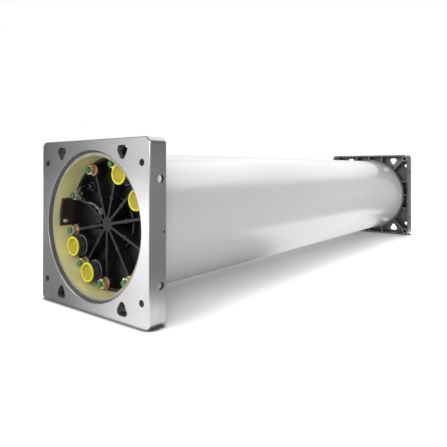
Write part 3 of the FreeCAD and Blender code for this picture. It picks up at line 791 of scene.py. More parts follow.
    def piece(
        self, name: str, finishes: Sequence[Finish], replaces: Sequence[str] = (),
        slot: str = "", body: str = MAIN_BODY, sharp: float = 40.0,
    ) -> bpy.types.Object:
        """Finish the mesh as an object that rides on a body.

        Args:
            name: The piece's name.
            finishes: Its finishes, in the order of the faces' numbers.
            replaces: CAD nodes that it stands for.
            slot: The record's material slot; not used.
            body: The CAD body that it moves with.
            sharp: Edges that turn more than this stay sharp, in degrees.

        Returns:
            The new object.
        """
        limit = math.radians(sharp)
        for face in self.bm.faces:
            face.smooth = True
        for edge in self.bm.edges:
            edge.smooth = len(edge.link_faces) == 2 and edge.calc_face_angle() < limit
        mesh = bpy.data.meshes.new(name)
        self.bm.to_mesh(mesh)
        self.bm.free()
        for finish in finishes:
            mesh.materials.append(finish.material())
        obj = put(name, mesh)
        level = obj.modifiers.new("even_normals", "WEIGHTED_NORMAL")
        level.keep_sharp = True
        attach(obj, body)
        if replaces:
            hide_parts(*replaces)
        LOG.info("%s: %d faces on %s", name, len(mesh.polygons), body)
        return obj


@dataclass(frozen=True)
class Layout:
    """Places that several assemblies share, in millimetres and degrees.

    Attributes:
        half_length: From the module's middle to a plate's outer face.
        axis_height: Height of the vessel's axis.
        roll: Turn of the end caps, clockwise seen from the port end.
        rod_count: Tie rods.
        rod_circle: Radius of the circle they stand on.
        port_circle: Radius of the circle the ports stand on.
        port_angles: The ports' angles, clockwise from up on the cap.
    """

    half_length: float = 759.0
    axis_height: float = 170.0
    roll: float = 8.0
    rod_count: int = 10
    rod_circle: float = 124.6
    port_circle: float = 113.7
    port_angles: tuple[float, ...] = (18.0, 54.0, 198.0, 234.0)

    def end_frame(self, end: End) -> Matrix:
        """Frame on a plate's outer face, on the axis: x right when faced, y up, z outwards.

        Args:
            end: Which end.

        Returns:
            The frame.
        """
        facing = Matrix.Rotation(math.pi, 4, "Z") if end is End.REAR else Matrix.Identity(4)
        middle = Vector((0.0, end.value * self.half_length, self.axis_height)) * MM
        return Matrix.Translation(middle) @ facing @ Matrix.Rotation(math.radians(90.0), 4, "X")

    def station(self, end: End, radius: float, angle: float) -> Matrix:
        """Frame at a point of an end cap, with y pointing away from the axis.

        Args:
            end: Which end.
            radius: Distance from the axis.
            angle: Degrees clockwise from up in the cap's own frame.

        Returns:
            The frame, with z = 0 on the plate's outer face.
        """
        roll = self.roll * -end.value
        turn = Matrix.Rotation(math.radians(-angle - roll), 4, "Z")
        return self.end_frame(end) @ turn @ Matrix.Translation((0.0, radius * MM, 0.0))

    def from_axis(self, point: Vector) -> float:
        """Distance of a point from the vessel's axis, in millimetres."""
        return math.hypot(point.x, point.z - self.axis_height * MM) / MM

    def rods(self, end: End) -> list[Matrix]:
        """Frames at the tie rods of one end."""
        pitch = 360.0 / self.rod_count
        return [self.station(end, self.rod_circle, pitch * index) for index in range(self.rod_count)]


LAYOUT = Layout()


@dataclass
class EndPlates:
    """The two square cast plates: satin face, duller rim and mouth, ribbed back left as cast; rim, mouth and
    back are darker than the face as painted shade.

    Attributes:
        edge_round: Round on every cast edge, in millimetres.
        reach: How near a face lies to the plate's outside to count as finished, in millimetres.
        corner: Radius of the rim's four corners.
        mouth: Radius of the wide mouth round the vessel.
        web: Depth of that mouth.
        squareness: How squarely a face of the mouth looks along the axis to belong to the outer face.
        flange: Inner and outer radius of the thin dark flange round the back of the port end's bore, painted
            shade that keeps the lit vessel from showing through the windows.
        flange_thick: Its thickness.
        flange_round: Round on its edges.
        flange_steps: Faces around it.
    """

    edge_round: float = 0.7
    reach: float = 1.6
    corner: float = 13.0
    mouth: float = 148.5
    web: float = 8.0
    squareness: float = 0.985
    flange: Pair = (145.6, 167.0)
    flange_thick: float = 4.0
    flange_round: float = 0.6
    flange_steps: int = 128

    def finish_of(
        self, face: bmesh.types.BMFace, low: Vector, high: Vector, outside: float
    ) -> PlateSurface:
        """Choose a face's finish.

        Args:
            face: The face.
            low: The plate's lowest corner.
            high: The plate's highest corner.
            outside: The y of its outer face.

        Returns:
            The surface that the face is part of.
        """
        middle = face.calc_center_median()
        depth = abs(middle.y - outside) / MM
        at_mouth = abs(LAYOUT.from_axis(middle) - self.mouth) < self.reach
        # The mouth's wall and bevel get a darker finish: painted shade.
        if depth < self.web and at_mouth and abs(face.normal.y) < self.squareness:
            return PlateSurface.MOUTH
        if depth < self.reach:
            return PlateSurface.FACE
        # The rim and the ribbed back get finishes darker than the face: painted shade.
        return PlateSurface.RIM if self.on_rim(middle, low, high) else PlateSurface.CAST

    def on_rim(self, point: Vector, low: Vector, high: Vector) -> bool:
        """Whether a point is on one of the rim's sides or corner rounds.

        Args:
            point: The point.
            low: The plate's lowest corner.
            high: The plate's highest corner.

        Returns:
            True on the rim.
        """
        radius = self.corner * MM
        middle_z = (low.z + high.z) / 2
        across = abs(point.x) - (high.x - radius)
        up = abs(point.z - middle_z) - (high.z - middle_z - radius)
        out = math.hypot(max(across, 0.0), max(up, 0.0))
        return out > radius - self.reach * MM

    def build(self) -> None:
        """Make both plates."""
        for end, node in ((End.FRONT, "front_end_plate"), (End.REAR, "rear_end_plate")):
            low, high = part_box(node)
            outside = low.y if end is End.FRONT else high.y
            shape = Shape.of_node(node).soften(self.edge_round)
            shape.dress(lambda face: self.finish_of(face, low, high, outside))
            finishes = (FACE_ALLOY, RIM_ALLOY_PAINTED_SHADE, CAST_ALLOY_PAINTED_SHADE, MOUTH_ALLOY_PAINTED_SHADE)
            shape.piece(f"{node}_cast", finishes, (node,), "plate_alloy")
        # A dark flange in the cast finish behind the port end's bore: painted shade where the windows would
        # show the lit vessel.
        low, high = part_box("front_end_plate")
        back = (low.y - high.y) / MM
        section = ring_outline(*self.flange, back, back + self.flange_thick)
        ring = Shape.turned(section, self.flange_round, self.flange_steps)
        ring.place(LAYOUT.end_frame(End.FRONT))
        ring.piece("front_plate_shade_flange", (CAST_ALLOY_PAINTED_SHADE,), slot="plate_alloy")


@dataclass
class Vessel:
    """The wound tube: white outside, bare resin inside, and on its cut ends a darker resin as painted shade.

    Attributes:
        wall: Thickness of the wall in millimetres.
        lip: Round on the cut ends' edges.
        steps: Faces around.
    """

    wall: float = 6.5
    lip: float = 0.8
    steps: int = 256

    def finish_of(self, face: bmesh.types.BMFace, outside: float, inside: float) -> TubeSurface:
        """Choose a face's finish.

        Args:
            face: The face.
            outside: The tube's outside radius in millimetres.
            inside: Its inside radius.

        Returns:
            The surface that the face is part of.
        """
        from_axis = LAYOUT.from_axis(face.calc_center_median())
        if from_axis > outside - self.lip:
            return TubeSurface.OUTSIDE
        return TubeSurface.INSIDE if from_axis < inside + self.lip / 4 else TubeSurface.CUT

    def build(self) -> None:
        """Make the tube at its CAD size."""
        low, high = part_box("pressure_vessel")
        radius = (high.x - low.x) / 2 / MM
        reach = (high.y - low.y) / 2 / MM
        inside = radius - self.wall
        shape = Shape.turned(ring_outline(inside, radius, -reach, reach), self.lip, self.steps)
        along = Matrix.Rotation(math.radians(90.0), 4, "X")
        shape.place(Matrix.Translation((0.0, 0.0, LAYOUT.axis_height * MM)) @ along)
        shape.dress(lambda face: self.finish_of(face, radius, inside))
        shape.piece("vessel_tube", (GELCOAT, WOUND_RESIN, CUT_RESIN_PAINTED_SHADE), ("pressure_vessel",), "vessel_shell")


@dataclass
class EndCaps:
    """The moulded caps, the keeper and its pin, in millimetres.

    Attributes:
        edge_round: Round on every rib of a cap.
        keeper_round: Round on the keeper's edges.
        pin_round: Round on the pin's edge.
    """

    edge_round: float = 0.6
    keeper_round: float = 0.9
    pin_round: float = 0.8

    def build(self) -> None:
        """Make both caps, the keeper and the pin."""
        for node in ("front_end_cap", "rear_end_cap"):
            shape = Shape.of_node(node).soften(self.edge_round)
            shape.piece(f"{node}_moulding", (CAP_MOULDING,), (node,), "cap_moulding")
        keeper = Shape.of_node("cap_keeper").soften(self.keeper_round, segments=3)
        keeper.piece("cap_keeper_block", (KEEPER_MOULDING,), ("cap_keeper",), "keeper_moulding")
        pin = Shape.of_node("keeper_pin").soften(self.pin_round, segments=3)
        pin.piece("keeper_pin_stud", (PIN_NYLON,), ("keeper_pin",), "pin_moulding")


@dataclass
class RodHardware:
    """Nuts, washers, lock washers, thread ends and green tips on the tie rods, in millimetres.

    Attributes:
        seat: Depth of the cap's seat behind the plate's face.
        washer_radius: Outside of the flat washer.
        washer_hole: Its hole.
        washer_thick: Its thickness.
        lock_radius: Outside of the lock washer.
        lock_thick: Its thickness.
        lock_play: Room between it and the thread.
        lock_slope: How much thinner it is at its outside, above and below.
        lock_arc: How far round it goes before its split, in degrees.
        flats: Size of the nut across its flats.
        nut_thick: Its thickness.
        nut_play: Room between it and the thread.
        nut_turn: Turn from one nut and lock washer to the next, in radians.
        rod_radius: Outside of the thread.
        thread_depth: Depth of the thread.
        thread_pitch: Its pitch.
        thread_sunk: How far it starts inside the nut.
        rod_end: Depth of the rod's end.
        rod_bevel: Width and height of the bevel on that end.
        tip_radius: Outside of the green tip.
        tip_bore: Radius of the dish in its front.
        tip_front: Depth of the tip's front.
        tip_length: Its length.
        tip_grip: How far its bore lies inside the thread's outside.
        tip_edge: Bevel round its front.
        dish_edge: Bevel round the dish, and the thickness of the dish's floor.
        dish_draft: How much narrower the dish is at its floor.
        small_round: Round on the edges of the flat washer and the tip.
        washer_steps: Faces around the flat washer.
        lock_steps: Faces around the lock washer.
        thread_steps: Faces around the thread.
        tip_steps: Faces around the tip.
    """

    seat: float = 52.7
    washer_radius: float = 12.0
    washer_hole: float = 6.5
    washer_thick: float = 2.5
    lock_radius: float = 10.3
    lock_thick: float = 2.4
    lock_play: float = 0.4
    lock_slope: float = 0.15
    lock_arc: float = 348.0
    flats: float = 19.0
    nut_thick: float = 8.4
    nut_play: float = 0.1
    nut_turn: float = 0.9
    rod_radius: float = 5.9
    thread_depth: float = 0.7
    thread_pitch: float = 1.75
    thread_sunk: float = 2.0
    rod_end: float = 34.5
    rod_bevel: Pair = (0.5, 0.4)
    tip_radius: float = 6.6
    tip_bore: float = 3.4
    tip_front: float = 33.2
    tip_length: float = 5.0
    tip_grip: float = 0.3
    tip_edge: float = 0.9
    dish_edge: float = 0.5
    dish_draft: float = 0.3
    small_round: float = 0.3
    washer_steps: int = 48
    lock_steps: int = 40
    thread_steps: int = 36
    tip_steps: int = 40

    def flat_washer(self) -> Shape:
        """Flat ring on the cap's seat."""
        top = -(self.seat - self.washer_thick)
        section = ring_outline(self.washer_hole, self.washer_radius, -self.seat, top)
        return Shape.turned(section, self.small_round, self.washer_steps)

    def lock_washer(self) -> Shape:
        """Split ring between the flat washer and the nut."""
        shape = Shape()
        foot = -(self.seat - self.washer_thick)
        top = foot + self.lock_thick
        inside = self.rod_radius + self.lock_play
        outside = self.lock_radius
        corners = shape.trace([
            (inside, foot), (outside, foot + self.lock_slope),
            (outside, top - self.lock_slope), (inside, top),
        ])
        section = shape.bm.faces.new(corners)
        parts = section.verts[:] + section.edges[:] + [section]
        shape.spin(parts, math.radians(self.lock_arc), self.lock_steps)
        bmesh.ops.recalc_face_normals(shape.bm, faces=shape.bm.faces)
        return shape

    def nut(self) -> Shape:
        """Hexagon nut on the lock washer."""
        foot = -(self.seat - self.washer_thick - self.lock_thick)
        return Shape.hexagon(self.flats, foot, foot + self.nut_thick, self.rod_radius + self.nut_play)

    def thread_end(self) -> Shape:
        """Thread that shows past the nut, with a bevelled end."""
        root = self.rod_radius - self.thread_depth
        nut_top = -(self.seat - self.washer_thick - self.lock_thick - self.nut_thick)
        height = nut_top - self.thread_sunk
        end = -self.rod_end
        bevel_wide, bevel_high = self.rod_bevel
        outline = [(0.0, height), (root, height)]
        while height + self.thread_pitch < end - bevel_wide - bevel_high:
            outline.append((self.rod_radius, height + self.thread_pitch / 2))
            height += self.thread_pitch
            outline.append((root, height))
        outline += [(root, end - bevel_high), (root - bevel_wide, end), (0.0, end)]
        return Shape.turned(outline, steps=self.thread_steps)

    def tip(self) -> Shape:
        """Green cap pushed over the rod's end, dished in front."""
        front = -self.tip_front
        back = front - self.tip_length
        end = -self.rod_end
        floor = end + self.dish_edge
        wall = self.rod_radius - self.tip_grip
        outside = self.tip_radius
        dish = self.tip_bore
        outline = [
            (wall, back), (outside, back), (outside, front - self.tip_edge),
            (outside - self.tip_edge, front), (dish + self.dish_edge, front), (dish, front - self.dish_edge),
            (dish - self.dish_draft, floor), (0.0, floor), (0.0, end), (wall, end),
        ]
        return Shape.turned(outline, self.small_round, self.tip_steps)

    def build(self) -> None:
        """Make the hardware of both ends."""
        for end in End:
            name = end.name.lower()
            rods = LAYOUT.rods(end)
            self.flat_washer().repeated(rods).piece(
                f"{name}_flat_washers", (PASSIVATED_ZINC,), (f"{name}_washers",), "washer_zinc"
            )
            turned = [rod @ Matrix.Rotation(self.nut_turn * i, 4, "Z") for i, rod in enumerate(rods)]
            self.lock_washer().repeated(turned).piece(
                f"{name}_lock_washers", (PASSIVATED_ZINC,), slot="washer_zinc"
            )
            self.nut().repeated(turned).piece(
                f"{name}_hexagon_nuts", (ZINC_STEEL,), (f"{name}_tie_nuts",), "nut_steel"
            )
            self.thread_end().repeated(rods).piece(f"{name}_thread_ends", (ROD_STEEL,), slot="rod_steel")
            self.tip().repeated(rods).piece(f"{name}_rod_tips", (GREEN_TIP,), slot="nut_steel")


@dataclass
class Ports:
    """Four turned nozzles and their yellow push-in caps, in millimetres.

    Attributes:
        barrel: Outside radius of a nozzle.
        bore: Inside radius.
        mouth: Depth of its mouth.
        foot: Depth of its foot.
        boss: Depth of the boss it stands in.
        plain_foot: How far below the boss's top the plain foot of its barrel ends.
        groove_depths: Depths of the turned grooves' middles.
        groove_deep: How deep they are cut.
        groove_wide: How wide they are.
        groove_slope: Width of their sloping sides.
        nozzle_round: Round on a nozzle's edges.
        collar_wide: How far the ring at the boss stands out.
        collar_high: How far it rises above the boss.
        collar_sunk: How far it reaches into the nozzle.
        collar_round: Round on its edges.
        cap_radius: Outside of a yellow cap.
        cap_front: Depth of its front.
        cap_round: Round on its edges.
        rim: Width of its rim.
        rim_edge: Bevel round its rim.
        rim_lip: Inner width, outer width and depth of the soft edge between dish and rim.
        dish_radius: Radius of the dish's flat floor.
        dish_depth: Depth of that floor below the rim.
        mark_radii: Inner radii of the moulding rings on that floor.
        mark_wide: Width of a moulding ring.
        mark_high: Its height.
        mark_slope: Width of its sloping sides.
        gate: Radius of the gate mark.
        gate_high: Its height.
        gate_edge: Bevel round it.
        plug_radius: Outside of its plug.
        plug_length: Length of the plug.
        plug_wall: Width of the plug's foot ring.
        plug_edge: Width and height of the bevel round its foot.
        plug_floor: How far its floor lies above that ring.
    """

    barrel: float = 21.0
    bore: float = 16.0
    mouth: float = 31.2
    foot: float = 98.0
    boss: float = 50.0
    plain_foot: float = 0.6
    groove_depths: tuple[float, ...] = (35.0, 39.0, 43.0)
    groove_deep: float = 0.45
    groove_wide: float = 1.4
    groove_slope: float = 0.3
    nozzle_round: float = 0.18
    collar_wide: float = 1.3
    collar_high: float = 1.1
    collar_sunk: float = 0.1
    collar_round: float = 0.45
    cap_radius: float = 20.5
    cap_front: float = 28.0
    cap_round: float = 0.15
    rim: float = 3.4
    rim_edge: float = 0.9
    rim_lip: Point = (0.3, 0.4, 0.5)
    dish_radius: float = 12.0
    dish_depth: float = 5.0
    mark_radii: Pair = (5.0, 8.6)
    mark_wide: float = 1.5
    mark_high: float = 0.45
    mark_slope: float = 0.4
    gate: float = 1.6
    gate_high: float = 0.5
    gate_edge: float = 0.3
    plug_radius: float = 15.95
    plug_length: float = 15.0
    plug_wall: float = 2.2
    plug_edge: Pair = (0.8, 1.0)
    plug_floor: float = 2.0

    def nozzle_finish(self, face: bmesh.types.BMFace) -> int:
        """Choose a face's finish.

        Args:
            face: The face of a nozzle that stands on the z axis.

        Returns:
            1 in the turned grooves, which are lighter as a painted highlight, and 0 elsewhere.
        """
        middle = face.calc_center_median() / MM
        below = self.barrel - math.hypot(middle.x, middle.y)
        return int(self.groove_deep / 2 < below < 2 * self.groove_deep and middle.z > -self.boss)

    def nozzle(self) -> Shape:
        """One nozzle with shallow turned grooves, lighter in them as a painted highlight."""
        barrel = self.barrel
        outline = [(self.bore, -self.mouth), (self.bore, -self.foot), (barrel, -self.foot)]
        outline.append((barrel, -self.boss - self.plain_foot))
        for depth in reversed(self.groove_depths):
            low = -depth - self.groove_wide / 2
            high = -depth + self.groove_wide / 2
            floor = barrel - self.groove_deep
            slope = self.groove_slope
            outline += [(barrel, low), (floor, low + slope), (floor, high - slope), (barrel, high)]
        outline.append((barrel, -self.mouth))
        return Shape.turned(outline, self.nozzle_round).dress(self.nozzle_finish)

    def collar(self) -> Shape:
        """Thin rounded ring where a nozzle leaves its boss, light grey as a painted highlight on the boss's
        edge.
        """
        inside = self.barrel - self.collar_sunk
        outside = self.barrel + self.collar_wide
        section = ring_outline(inside, outside, -self.boss, self.collar_high - self.boss)
        return Shape.turned(section, self.collar_round)

    def cap_finish(self, face: bmesh.types.BMFace) -> int:
        """Choose a face's finish.

        Args:
            face: The face of a cap that stands on the z axis.

        Returns:
            1 in the dish and on the plug, darker there as painted shade, and 0 on the rim.
        """
        middle = face.calc_center_median() / MM
        lip_inner, _, lip_deep = self.rim_lip
        within = math.hypot(middle.x, middle.y) < self.cap_radius - self.rim - lip_inner / 2
        return int(within and middle.z < -self.cap_front - 2 * lip_deep)

    def cap(self) -> Shape:
        """One cap: rounded rim, dished middle with moulding rings and a gate mark, plug behind."""
        front = -self.cap_front
        floor = front - self.dish_depth
        inside = self.cap_radius - self.rim
        plug = self.plug_radius
        back = -self.mouth
        tail = back - self.plug_length
        edge_wide, edge_high = self.plug_edge
        lip_inner, lip_outer, lip_deep = self.rim_lip
        high = floor + self.mark_high
        slope = self.mark_slope
        gate_top = floor + self.gate_high
        outline = [(0.0, gate_top), (self.gate - self.gate_edge, gate_top), (self.gate, floor)]
        for low in self.mark_radii:
            wide = low + self.mark_wide
            outline += [(low, floor), (low + slope, high), (wide - slope, high), (wide, floor)]
        outline += [
            (self.dish_radius, floor), (inside - lip_inner, front - lip_deep), (inside + lip_outer, front),
            (self.cap_radius - self.rim_edge, front), (self.cap_radius, front - self.rim_edge),
            (self.cap_radius, back), (plug, back), (plug, tail + edge_high), (plug - edge_wide, tail),
            (plug - self.plug_wall, tail), (plug - self.plug_wall, tail + self.plug_floor),
            (0.0, tail + self.plug_floor),
        ]
        return Shape.turned(outline, self.cap_round).dress(self.cap_finish)

    def build(self) -> None:
        """Make the nozzles and the caps, each cap on its own body."""
        places = [LAYOUT.station(End.FRONT, LAYOUT.port_circle, angle) for angle in LAYOUT.port_angles]
        self.nozzle().repeated(places).piece(
            "port_barrels", (NOZZLE_MOULDING, NOZZLE_GROOVE_HIGHLIGHT), ("port_nozzles",), "nozzle_moulding"
        )
        # Light collars at the bosses: painted highlight.
        self.collar().repeated(places).piece("port_highlight_collars", (COLLAR_PAINTED_HIGHLIGHT,), slot="nozzle_moulding")
        for index, place in enumerate(places, start=1):
            self.cap().place(place).piece(
                f"yellow_cap_{index}", (YELLOW_CAP, YELLOW_DISH_PAINTED_SHADE), (f"port_cap_{index}",),
                "port_cap_yellow", body=f"cap_{index}",
            )


@dataclass
class PowerLead:
    """The short lead with its gland, lug and terminal, in millimetres on the lead's own sector.

    Attributes:
        sector: The sector's angle, clockwise from up on the cap.
        diameter: The lead's diameter.
        around: Steps round a quarter of it.
        along: Steps between two of its points.
        length: Its length; not used.
        route: The points that it follows from the gland to the lug: across, outwards and up.
        gland_circle: Radius of the circle the gland stands on.
        gland_flats: Size of the gland's hexagon across its flats.
        gland_radius: Outside of its domed nut.
        gland_depths: Depths of the hexagon's foot, the hexagon's top and the dome's top.
        gland_wall: How much narrower the hexagon's hole is than the dome.
        dome: The dome's outline, as distances in from its outside and down from its top.
        dome_sunk: How far it reaches into the hexagon.
        dome_edge: Width and depth of the bevel round the lead.
        dome_round: Round on its corners.
        lead_play: Room between it and the lead.
        post_circle: Radius of the circle the terminal stands on.
        post_radius: Outside of the terminal's thread.
        post_top: Depth of the post's end.
        post_sunk: How far it starts under its nut.
        post_edge: Bevel round its end.
        post_round: Round on that bevel.
        nut_flats: Size of the terminal's nut across its flats.
        nut_depths: Depths of that nut's foot and top.
        nut_play: Room between it and the thread.
        nut_turn: Its turn on the post, in radians.
        lug_round: Round on the lug's edges.
        lug_turn: Turn of the lug's barrel about the post, in degrees.
        barrel_depth: Depth of the barrel's axis.
        sleeve: Outline of the sleeve shrunk over it, as radii and stations along the barrel.
        sleeve_round: Round on its corners.
        dome_steps: Faces around the dome.
        post_steps: Faces around the post.
        sleeve_steps: Faces around the sleeve.
    """

    sector: float = 306.0
    diameter: float = 7.2
    around: int = 8
    along: int = 16
    length: float = 83.5
    route: tuple[Point, ...] = (
        (0.0, 107.0, -50.0), (0.0, 107.0, -31.0), (-16.0, 100.0, -31.0), (-20.0, 80.0, -37.0),
        (-8.5, 65.9, -47.4), (-5.2, 53.3, -47.4),
    )
    gland_circle: float = 107.0
    gland_flats: float = 20.0
    gland_radius: float = 7.5
    gland_depths: Point = (74.0, 60.0, 50.0)
    gland_wall: float = 1.0
    dome: tuple[Pair, ...] = ((0.0, 5.0), (0.9, 2.2), (2.3, 0.4))
    dome_sunk: float = 2.0
    dome_edge: Pair = (0.5, 0.4)
    dome_round: float = 0.5
    lead_play: float = 0.05
    post_circle: float = 34.0
    post_radius: float = 3.9
    post_top: float = 41.0
    post_sunk: float = 3.0
    post_edge: float = 0.8
    post_round: float = 0.1
    nut_flats: float = 13.0
    nut_depths: Pair = (50.0, 44.0)
    nut_play: float = 0.1
    nut_turn: float = 0.2
    lug_round: float = 0.3
    lug_turn: float = 15.0
    barrel_depth: float = 47.4
    sleeve: tuple[Pair, ...] = (
        (4.85, 7.5), (5.25, 7.5), (5.3, 20.3), (4.1, 22.0), (4.0, 25.0), (3.65, 25.0), (3.65, 21.0),
        (4.85, 20.0),
    )
    sleeve_round: float = 0.15
    dome_steps: int = 72
    post_steps: int = 40
    sleeve_steps: int = 48

    def cord(self) -> None:
        """Draw the lead as one smooth curve from the gland into the lug."""
        frame = LAYOUT.station(End.FRONT, 0.0, self.sector)
        points = [frame @ (Vector(point) * MM) for point in self.route]
        curve = bpy.data.curves.new("lead_cord", "CURVE")
        curve.dimensions = "3D"
        curve.bevel_depth = self.diameter / 2 * MM
        curve.bevel_resolution = self.around
        spline = curve.splines.new("NURBS")
        spline.points.add(len(points) - 1)
        for item, point in zip(spline.points, points):
            item.co = (*point, 1.0)
        spline.order_u = 3
        spline.use_endpoint_u = True
        spline.resolution_u = self.along
        curve.materials.append(LEAD_JACKET.material())
        lead = put("lead_cord", curve)
        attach(lead, MAIN_BODY)
        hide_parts("power_lead")
        LOG.info("lead_cord: %d points on %s", len(points), MAIN_BODY)

    def gland(self) -> None:
        """Make the gland: hexagon body and a domed nut."""
        foot, shoulder, top = (-depth for depth in self.gland_depths)
        at = LAYOUT.station(End.FRONT, self.gland_circle, self.sector)
        hole = self.gland_radius - self.gland_wall
        body = Shape.hexagon(self.gland_flats, foot, shoulder, hole)
        body.place(at).piece("gland_body", (GLAND_NYLON,), ("lead_gland",), "gland_moulding")
        seat = self.diameter / 2 + self.lead_play
        low = shoulder - self.dome_sunk
        edge_wide, edge_deep = self.dome_edge
        outline = [(seat, low), (self.gland_radius, low)]
        outline += [(self.gland_radius - into, top - down) for into, down in self.dome]
        outline += [(seat + edge_wide, top), (seat, top - edge_deep)]
        dome = Shape.turned(outline, self.dome_round, self.dome_steps)
        dome.place(at).piece("gland_dome", (GLAND_NYLON,), slot="gland_moulding")

    def terminal(self) -> None:
        """Make the post with its nut, the lug and the sleeve over the lug's barrel."""
        at = LAYOUT.station(End.FRONT, self.post_circle, self.sector)
        low, high = (-depth for depth in self.nut_depths)
        nut = Shape.hexagon(self.nut_flats, low, high, self.post_radius + self.nut_play)
        nut.place(at @ Matrix.Rotation(self.nut_turn, 4, "Z"))
        nut.piece("terminal_hexagon", (TERMINAL_STEEL,), ("terminal_nut",), "terminal_steel")
        top = -self.post_top
        foot = low - self.post_sunk
        outline = [
            (0.0, foot), (self.post_radius, foot), (self.post_radius, top - self.post_edge),
            (self.post_radius - self.post_edge, top), (0.0, top),
        ]
        stud = Shape.turned(outline, self.post_round, self.post_steps)
        stud.place(at).piece("terminal_stud", (TERMINAL_STEEL,), ("terminal_post",), "terminal_steel")
        lug = Shape.of_node("cable_lug").soften(self.lug_round)
        lug.piece("lug_body", (TINNED_COPPER,), ("cable_lug",), "lug_tinned")
        barrel = Matrix.Rotation(math.radians(self.lug_turn), 4, "Z")
        barrel @= Matrix.Translation((0.0, 0.0, -self.barrel_depth * MM))
        barrel @= Matrix.Rotation(math.radians(-90.0), 4, "X")
        sleeve = Shape.turned(self.sleeve, self.sleeve_round, self.sleeve_steps)
        sleeve.place(at @ barrel).piece("lug_sleeve", (LEAD_JACKET,), slot="lead_jacket")

    def build(self) -> None:
        """Make the whole lead."""
        self.cord()
        self.gland()
        self.terminal()


@dataclass
class HiddenStack:
    """The CAD nodes that keep their mesh and only get a finish.

    Attributes:
        finishes: Each node's name with its finish.
    """

    finishes: tuple[tuple[str, Finish], ...] = (
        ("cap_seals", SEAL_RUBBER),
        ("tie_rods", ROD_STEEL),
        ("electrode_plates", ELECTRODE),
        ("membranes", MEMBRANE),
        ("diluting_spacer", SPACER),
        ("resin_bed", RESIN_BEADS),
    )

    def build(self) -> None:
        """Assign the finishes."""
        for node, finish in self.finishes:
            slots = bpy.data.objects[node].data.materials
            slots.clear()
            slots.append(finish.material())
            LOG.info("%s keeps its CAD mesh", node)


@dataclass(frozen=True)
class Softbox:
    """One soft lamp.

    Attributes:
        name: Its name.
        place: Its position in metres.
        target: The point it faces.
        size: Its two sides in metres.
        glow: Its brightness, where 1 is white.
        spread: How wide its light opens, in degrees.
    """

    name: str
    place: Point
    target: Point
    size: Pair
    glow: float
    spread: float = 180.0

    def hang(self) -> None:
        """Add the lamp to the scene."""
        data = bpy.data.lights.new(self.name, "AREA")
        data.shape = "RECTANGLE"
        data.size, data.size_y = self.size
        data.energy = self.glow * math.pi * data.size * data.size_y
        data.spread = math.radians(self.spread)
        lamp = put(self.name, data)
        lamp.location = self.place
        way = Vector(self.target) - Vector(self.place)
        lamp.rotation_euler = way.to_track_quat("-Z", "Y").to_euler()


